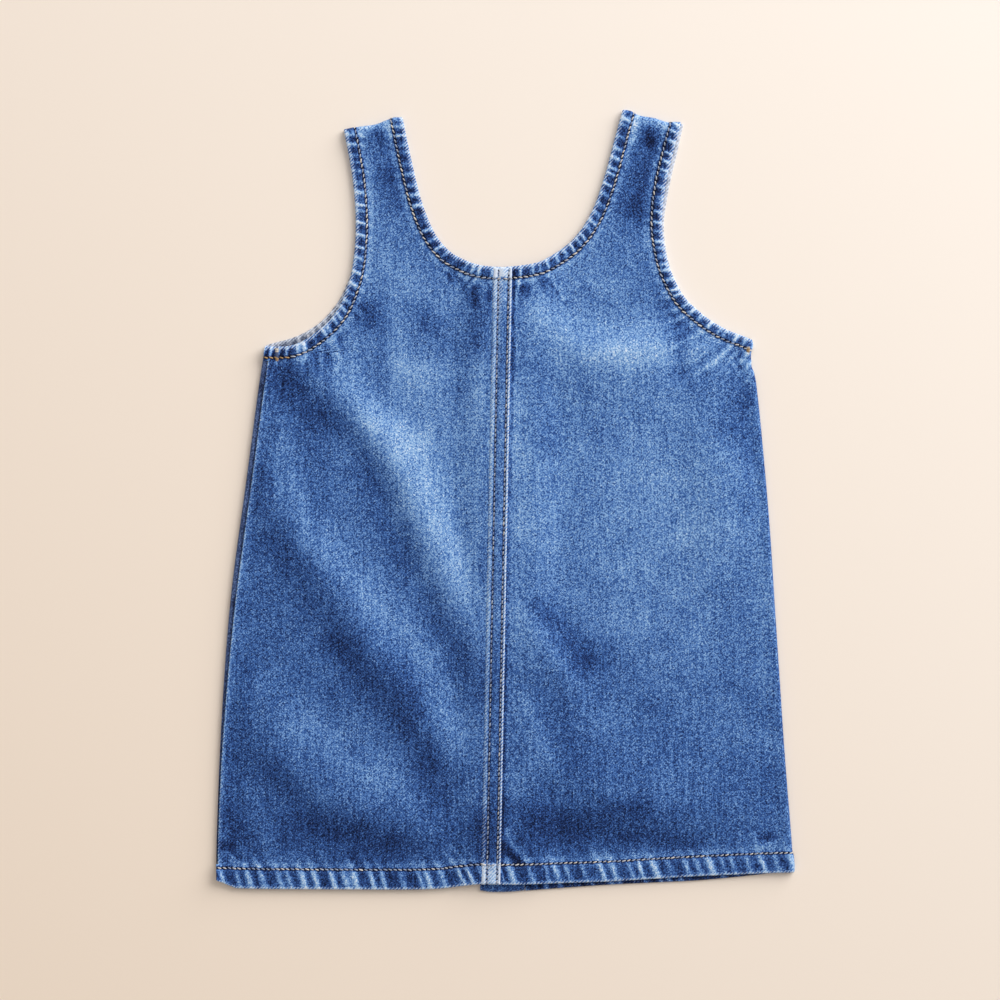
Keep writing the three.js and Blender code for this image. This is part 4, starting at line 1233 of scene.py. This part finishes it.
# %% [markdown]
# ## The front
#
# The front lies underneath with its outer face on the table, so its underside is flat. What shows from above
# is its grey reverse at the armholes and its hem below the back's. Its left half comes up round the left
# side. It is made as the back is, with wider steps.

# %% Front edges
FRONT_NECK_DROP = 1.6
FRONT_END = FOLD_RADIUS + FOLD_LEG + GAP
PLACKET_TOP_Y = 148.3


def front_edges(name):
    """The neck, armhole and hem of one half of the front."""
    out = OUT[name]
    start = float(line_x(PLACKET_LINE, PLACKET_TOP_Y)) + out * (PLACKET_WIDTH / 2 + GAP)
    rest = [(x, y - FRONT_NECK_DROP) for x, y in NECK[name] if out * (x - start) > 3]
    neck = [(start, PLACKET_TOP_Y), *rest]
    armhole, hem = FRONT_ARMHOLE[name], FRONT_HEM[name]
    if name == "left":
        armhole = on(armhole[::-1], ROLL_ARC + 1.1 - FOLD_RADIUS)[::-1]
        hem = [*hem[:-2], (-172, -243.6), (-185.5 - ROLL_ARC + FOLD_RADIUS, -240.4)]
    seed = 41 if name == "left" else 53
    return {
        "neck": Edge(neck, -out, NECK_DEPTH, 5.2, 0.15 * out, ((0, 1), (6, 6)), seed),
        "armhole": Edge(armhole, out, NECK_DEPTH, 5.2, -0.2 * out, ((45, 75), (12, 4)), seed + 1),
        "hem": Edge(hem, out, HEM_DEPTH, 8.8, 0.35 * out, ((0, 1), (7, 7)), seed + 2),
    }


FRONT_EDGES = {name: front_edges(name) for name in OUT}
FRONT_LIFT = 0.28
FRONT_CREASES = [
    # lift, wash, width above, width below, line
    (0.35, 0.07, 12, 14, [(-120, 70), (-84, 10), (-52, -60), (-36, -130)]),
    (0.3, -0.08, 10, 14, [(-160, -40), (-120, -110), (-70, -170)]),
    (0.35, 0.06, 13, 11, [(42, 96), (70, 40), (92, -40)]),
    (0.3, -0.07, 12, 12, [(30, -60), (66, -120), (120, -170)]),
    (0.25, 0.06, 10, 10, [(140, 30), (148, -60)]),
    (0.2, -0.06, 9, 9, [(-92, 200), (-76, 160)]),
    (0.2, -0.06, 9, 9, [(92, 200), (78, 160)]),
]


def front_form(x, y):
    """Height of the front's lower face, which is flat but for shallow creases, and its wash."""
    x, y, from_side = with_side(x, y)
    return creased(FRONT_CREASES, x, y, smooth((from_side - 6) / 10) * smooth((y + 236) / 12))


def front_faces(x, y):
    """Heights of the front's lower and upper face, and its wash."""
    low, wash = front_form(x, y)
    return low, low + CLOTH, wash


# %% Front panels
FRONT_ROWS = 250


def lower_rows(edges, x, y):
    """What the hems add to the sheet's lower face, which lies over them as seen from below: the wash of their
    ropes, and the stitches along the nearest row and the distance from it."""
    wash, needle = np.zeros(x.shape), np.full((*x.shape, 3), FAR)
    for kind, edge in edges.items():
        s, d = edge.path.near(x, y)
        wash += smooth((edge.depth - d) / 1.2) * rope_wash(WASHES[kind], edge.rope(s, d), edge.swell(s, d))
        from_row = d - edge.depth
        nearest = np.abs(from_row) < np.abs(needle[..., 1])
        needle[nearest] = np.stack([s / PITCH, from_row, FAR + 0 * d], -1)[nearest]
    return wash, needle


FRONT_COLUMNS = {"left": (70, 14), "right": (76, 4)}
FOLD_COLUMNS = {"left": 14, "right": 0}
ROLL_SHADE = {"all": 0.04, "dimple": 0.16, "under_rim": 0.32}


def front_panel(name):
    """One half of the front as a sheet from the placket to its side."""
    out, edges = OUT[name], FRONT_EDGES[name]
    seam_y = np.linspace(-258, PLACKET_TOP_Y - RIM_INSET, 200)
    seam = np.column_stack([line_x(PLACKET_LINE, seam_y) + out * (PLACKET_WIDTH / 2 + GAP), seam_y])
    side_y = np.linspace(-258, side_line[name][-1, 1] - RIM_INSET - 0.5, 240)
    if name == "left":
        side_at = side_x(name, side_y) + FOLD_RADIUS - (ROLL_ARC + left_strip(side_y) - FOLD_RADIUS)
        start, fold_width = 6.0, lambda y: 2 + (ROLL_ARC - 1) * smooth((99 - y) / 3)
    else:
        side_at = side_x(name, side_y) - FRONT_END
        start, fold_width = 1.0, lambda y: PLAIN_FOLD + 0 * y
    side = np.column_stack([side_at, side_y])
    top_y = lambda at: strap_top_y(at) - FRONT_END
    x, y = panel_plan(edges, seam, side, start, fold_width, top_y, FRONT_ROWS, FRONT_COLUMNS[name])
    low, wash = front_form(x, y)
    lift, more = pucker(edges, x, y)
    lift = lift * 0.5
    level = BASE_WASH - 0.02 + wash + more
    if name == "left":
        # Painted shade on the roll of the left side, which faces away from the lamp, deeper in dimples along
        # its fold, and a line of painted shadow where the strip goes under the back's rim
        dimple = np.interp(y, edges["hem"].fine * 2 - 240, edges["hem"].ridges)
        on_roll = smooth((side_x(name, y) + FOLD_RADIUS + 2 - x) / 3)
        level = level - on_roll * (ROLL_SHADE["all"] + ROLL_SHADE["dimple"] * smooth((dimple - 0.5) / 0.4))
        under_rim = x - side_x(name, y) - 2 * FOLD_RADIUS + ROLL_ARC + left_strip(y)
        level = level - ROLL_SHADE["under_rim"] * on_roll * hump(under_rim, 0.9)
    rings = sheet_rings(x, y, low + CLOTH + lift, low + lift)
    folded = fold_front[name](*rings)
    hem_wash, needle = lower_rows(edges, x, y)
    marks = {
        "wash": there_and_back(level, level + hem_wash),
        "wear": np.zeros(rings[0].shape),
        "needle": there_and_back(np.broadcast_to(NO_ROW, needle.shape), needle),
    }
    faces = ring_faces(*rings[0].shape)
    column = faces.min(1) % rings[0].shape[1]
    across = x.shape[1]
    kinds = np.where(column < across - 1, 0, np.where(column < across + FOLD_COLUMNS[name], 2, 1))
    materials = [denim_reverse, denim_face, denim_fold]
    return make_piece(f"front_{name}_panel", placed(*folded), faces, marks, materials, kinds)


front_panels = {name: front_panel(name) for name in OUT}

# %% Front hems
FRONT_STEP = 0.9
front_hems = {
    (name, kind): Hem(edge, front_faces, FRONT_LIFT, WASHES[kind], fold_front[name], flip=True)
    for name in OUT
    for kind, edge in FRONT_EDGES[name].items()
}
# The front's hems are darkened by painted shadow of the back's hem over them; the right armhole's hem is
# paler
FRONT_TINT_AND_SHADOW = {("left", "armhole"): 0.05, ("right", "armhole"): 0.26, ("left", "hem"): -0.26,
              ("right", "hem"): -0.26}
front_hem_pieces = {
    key: make_hem(
        f"front_{key[0]}_{key[1]}_hem",
        hem,
        FRONT_STEP,
        [denim_face if key[1] == "hem" else denim_reverse, denim_face],
        lower_kind=True,
        tint=FRONT_TINT_AND_SHADOW.get(key, 0.0),
        rubbed=0.3 if key[1] == "hem" else 1.0,
    )
    for key, hem in front_hems.items()
}

# %% [markdown]
# ## The placket and its buttons
#
# The front closes with two straight bands of folded denim, one on the other, and six buttons on the outer
# one. All of it faces the table. The bands are sheets with rounded rims, and each button is a profile turned
# about its own axis.

# %% Placket
UNDER_INSET = 1.5
UNDER_HEM_Y = -242.6
BAND_COLUMNS = 52
BAND_ROWS = 330
BAND_ROW = 2.2
PLACKET_ROW_START = -236.0


def placket_band(name, half, bottom, low, thick, tint):
    """A straight band between the placket's hem and its top, with rims rounded on both faces."""
    share = np.linspace(-1, 1, BAND_COLUMNS + 1)
    share = np.sign(share) * (1 - (1 - np.abs(share)) ** 1.5)
    up = np.linspace(0, 1, BAND_ROWS + 1)[:, None]
    start = bottom(half * share + line_x(PLACKET_LINE, -250))
    y = start + (PLACKET_TOP_Y - start) * up
    x = line_x(PLACKET_LINE, y) + half * share
    to_rim = np.minimum(half * (1 - np.abs(share)) + 0 * y, np.minimum(y - start, PLACKET_TOP_Y - y))
    left = round_rim(to_rim, thick, 0.6)
    low_face = low + (thick - left) / 2
    for number in range(BUTTON["count"]):
        button_y = BUTTON["lowest_y"] + number * BUTTON["spacing"]
        from_button = np.hypot(x - line_x(PLACKET_LINE, button_y), y - button_y)
        in_recess = 1 - smooth((from_button - BUTTON["radius"] - GAP) / 1.3)
        recess = (BUTTON["thick"] + GAP - low_face) * in_recess
        low_face = low_face + np.maximum(recess, 0) * (low == 0)
    from_row = half * (1 - np.abs(share)) + 0 * y - BAND_ROW
    low_face = low_face + 0.5 * hump(from_row, 0.75) * (low == 0) * (y > PLACKET_ROW_START)
    ripple = 0.5 + 0.5 * np.sin(y / 1.2 + np.sin(y / 9) * 2)
    level = BASE_WASH + tint + 0.1 * (ripple - 0.5) * hump(to_rim, 3.0)
    wear = 0.5 * hump(to_rim, 1.1) * (0.7 + 0.3 * ripple)
    from_row = np.where((low == 0) & (y > PLACKET_ROW_START), from_row, FAR)
    needle = np.stack([(y - PLACKET_ROW_START) / PITCH, from_row, FAR + 0 * y], -1)
    rings = sheet_rings(x, y, low + (thick + left) / 2, low_face)
    marks = {"wash": there_and_back(level), "wear": there_and_back(wear), "needle": there_and_back(needle)}
    return make_skin(name, *rings, marks, [denim_face])


placket_hem_y = upward(through(PLACKET_HEM, 1.0))
placket_over = placket_band("placket_over_band", PLACKET_WIDTH / 2, placket_hem_y, 0.0, OVER_PLACKET, -0.06)
placket_under = placket_band(
    "placket_under_band",
    PLACKET_WIDTH / 2 - UNDER_INSET,
    lambda x: UNDER_HEM_Y + 0 * x,
    OVER_PLACKET + GAP,
    CLOTH,
    -0.05,
)

# %% [markdown]
# ## Topstitching
#
# Each stitch is a short thread that comes out of one hole and goes into the next, arched a little and pulled
# into the cloth at both ends. One stitch is a tube of a few rings, and all stitches of a row are one array:
# the same rings at every stitch's place on the hem's own surface, folded round sides and shoulders with it.

# %% Stitch maker
STITCH = {"share": 0.9, "half_wide": 0.43, "half_high": 0.34, "arch": 0.3, "dip": 0.45}
RING_AT = np.array([-1.0, -0.72, -0.25, 0.25, 0.72, 1.0])
RING_SIZE = np.array([0.25, 0.85, 1.0, 1.0, 0.85, 0.25])
STITCH_SIDES = 6


def stitch_rings(length, surface, lean, seed, tones, gold=0.0, stand=1.0, pitch=PITCH):
    """Points of every stitch of a row, of shape stitches, rings, sides. surface gives a plan point and height
    from a length along the row and a distance across it. gold is how much of the row keeps its first colour,
    and stand is how far it stands out, which is less than 0 where it hangs in a groove of a lower face."""
    rng = np.random.default_rng(seed)
    count = int(length / pitch)
    middle = (np.arange(count) + 0.5)[:, None, None] * pitch
    size = rng.uniform(0.88, 1.12, (count, 1, 1))
    half = 0.5 * STITCH["share"] * pitch * size
    at = RING_AT[None, :, None]
    angle = np.linspace(0, 2 * np.pi, STITCH_SIDES, endpoint=False)[None, None, :]
    wide = RING_SIZE[None, :, None] * np.cos(angle) * STITCH["half_wide"] * size
    high = RING_SIZE[None, :, None] * np.sin(angle) * STITCH["half_high"]
    wander = rng.uniform(-0.12, 0.12, (count, 1, 1))
    s = middle + half * at + 0 * angle
    across = wide + wander + lean * at * (1 + 0 * angle)
    x, y, z = surface(s, across)
    z = z + stand * (high + STITCH["arch"] * (1 - at**2) - STITCH["dip"] * at**4)
    tone = np.where(middle < gold, 1.0, rng.uniform(*tones, (count, 1, 1))) + 0 * s
    return x, y, z, tone


def make_stitches(name, rows, fold):
    """One piece from several rows of stitches."""
    x, y, z, tone = (np.concatenate([row[k] for row in rows]) for k in range(4))
    x, y, z = fold(x, y, z)
    one = ring_faces(RING_AT.size, STITCH_SIDES)
    points = RING_AT.size * STITCH_SIDES
    faces = (one[None] + points * np.arange(len(x))[:, None, None]).reshape(-1, 4)
    make_piece(name, placed(x, y, z), faces, {"tone": tone}, [thread])


def on_hem(hem, side=1):
    """The surface under a hem's row of stitches, on its upper face, or on its lower face where side is -1."""

    def surface(s, across):
        x, y, low, high, _ = hem.surface(s, hem.edge.depth + across)
        from_seam = x - line_x(SEAM_LINE, y)
        on_band = np.abs(from_seam) < FELL["right"]
        band = fell_surface(y, np.clip(from_seam, FELL["left"], FELL_FOLD))[3] + 0.15
        return x, y, np.where(on_band & (side > 0), np.maximum(band, high), high if side > 0 else low)

    return surface


# %% Rows of stitches
TONES = {"neck": (0.42, 0.75), "armhole": (0.4, 0.75), "hem": (0.4, 0.74)}
GOLD = {("back", "left", "armhole"): 15.0}
LEAN, STRAIGHT = 0.42, 0.2
ROWS = [
    # side, hems, how they fold, first seed, which face, how far the stitches stand out
    ("back", back_hems, fold_back, 61, 1, 1.0),
    ("front", front_hems, fold_front, 71, -1, -0.4),
]
for side, hems, fold, seed, face, stand in ROWS:
    for name in OUT:
        rows = []
        for k, ((half, kind), hem) in enumerate(hems.items()):
            if half == name:
                length, surface = hem.edge.path.length, on_hem(hem, face)
                gold = GOLD.get((side, half, kind), 0.0)
                rows.append(stitch_rings(length, surface, LEAN, seed + k, TONES[kind], gold, stand))
        make_stitches(f"{side}_{name}_stitches", rows, fold[name])


def on_fell(row):
    """The surface under one row of the felled seam."""

    def surface(s, across):
        x, y, _, top, _ = fell_surface(s + FELL_START, across + row)
        return x, y, top

    return surface


def on_placket(side):
    """The grooved lower face of the outer band, along one of its long sides."""

    def surface(s, across):
        y = s + PLACKET_ROW_START
        x = line_x(PLACKET_LINE, y) + side * (PLACKET_WIDTH / 2 - BAND_ROW) + across
        return x, y, 0.5 + 0 * x

    return surface


placket_length = PLACKET_TOP_Y - PLACKET_ROW_START - 2.0
placket_rows = [
    stitch_rings(placket_length, on_placket(side), STRAIGHT, 87 + side, (0.45, 0.8), stand=-0.6)
    for side in (-1, 1)
]
make_stitches("placket_over_stitches", placket_rows, as_drawn)

FELL_TONES = [(0.18, 0.55), (0.28, 0.64)]
fell_rows = [
    stitch_rings(FELL_END - FELL_START, on_fell(row), STRAIGHT, 81 + k, FELL_TONES[k])
    for k, row in enumerate(FELL["rows"])
]
make_stitches("back_seam_stitches", fell_rows, as_drawn)

# %% Bar tacks
TACK = {"wide": 2.9, "pitch": 0.55}
TACKS_RISE = TURNED_EXTRA + 0.25
# Where each bar begins, how long it is, and the shade of its threads from the top to the bottom
TACKS = {
    "left": ((-146.5, 98.0), 8.8, [(0, 0.78), (4, 0.84), (5, 0.2), (11, 0.25), (12, 1.0), (15, 1.0)]),
    "right": ((156.2, 98.8), 5.2, [(0, 0.8), (3, 1.0), (8, 0.9)]),
}


def make_tack(name):
    """A bar tack at an underarm: short threads side by side, each across the bar and one below the other."""
    (x0, y0), length, shades = TACKS[name]
    hem = back_hems[name, "armhole"]
    count = int(length / TACK["pitch"])

    def surface(s, across):
        row = np.floor(s / TACK["wide"])
        x = x0 + s - (row + 0.5) * TACK["wide"] + 0 * across
        y = y0 - row * TACK["pitch"] + 0.55 * across
        from_edge = hem.edge.path.near(x, y)[1]
        rise = TACKS_RISE * hem_rise(from_edge, hem.edge.depth)
        return x, y, back_faces(x, y)[1] + rise

    run = (count + 0.5) * TACK["wide"]
    x, y, z, _ = stitch_rings(run, surface, 0.0, 91, (0.2, 0.6), pitch=TACK["wide"])
    tone = np.interp(np.arange(len(x)), *np.transpose(shades))[:, None, None] + 0 * x
    make_stitches(f"back_{name}_tack", [(x, y, z, tone)], as_drawn)


for name in OUT:
    make_tack(name)

# %% Buttons
BUTTON_PROFILE = [(0.4, 0.55), (3.0, 0.5), (3.9, 0.25), (4.7, 0.05), (5.6, 0.0), (6.5, 0.05), (7.1, 0.28),
                  (7.4, 0.6), (7.5, 0.85), (7.3, 1.2), (6.8, 1.45), (6.0, 1.5), (0.4, 1.5)]

# Dull aged brass
brass, tree, shader, place = new_material("aged_brass", {"Metallic": 1.0, "Roughness": 0.45})
tarnish = mix(tree, noise(tree, place, 500.0, 3.0), "#4d3a22", "#a98f5c")
tree.links.new(tarnish, shader.inputs["Base Color"])


def make_button(number):
    """A flat button: its profile turned about its own axis."""
    y = BUTTON["lowest_y"] + number * BUTTON["spacing"]
    radius, z = np.array(BUTTON_PROFILE).T[:, :, None]
    angle = np.linspace(0, 2 * np.pi, 48, endpoint=False)
    x = line_x(PLACKET_LINE, y) + radius * np.cos(angle)
    points = placed(x, y + radius * np.sin(angle), z + 0 * angle)
    piece = make_piece(f"button_{number + 1}_disc", points, ring_faces(*x.shape), {}, [brass])
    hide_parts(f"button_{number + 1}")


for number in range(BUTTON["count"]):
    make_button(number)

# %% [markdown]
# ## The solids that the cloth replaces
#
# Each panel, band and seam replaces its solid, which is hidden.

# %% Hidden solids
for name in OUT:
    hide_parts(f"back_{name}")
    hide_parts(f"front_{name}")
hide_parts("back_seam")
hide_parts("placket_over")
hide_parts("placket_under")
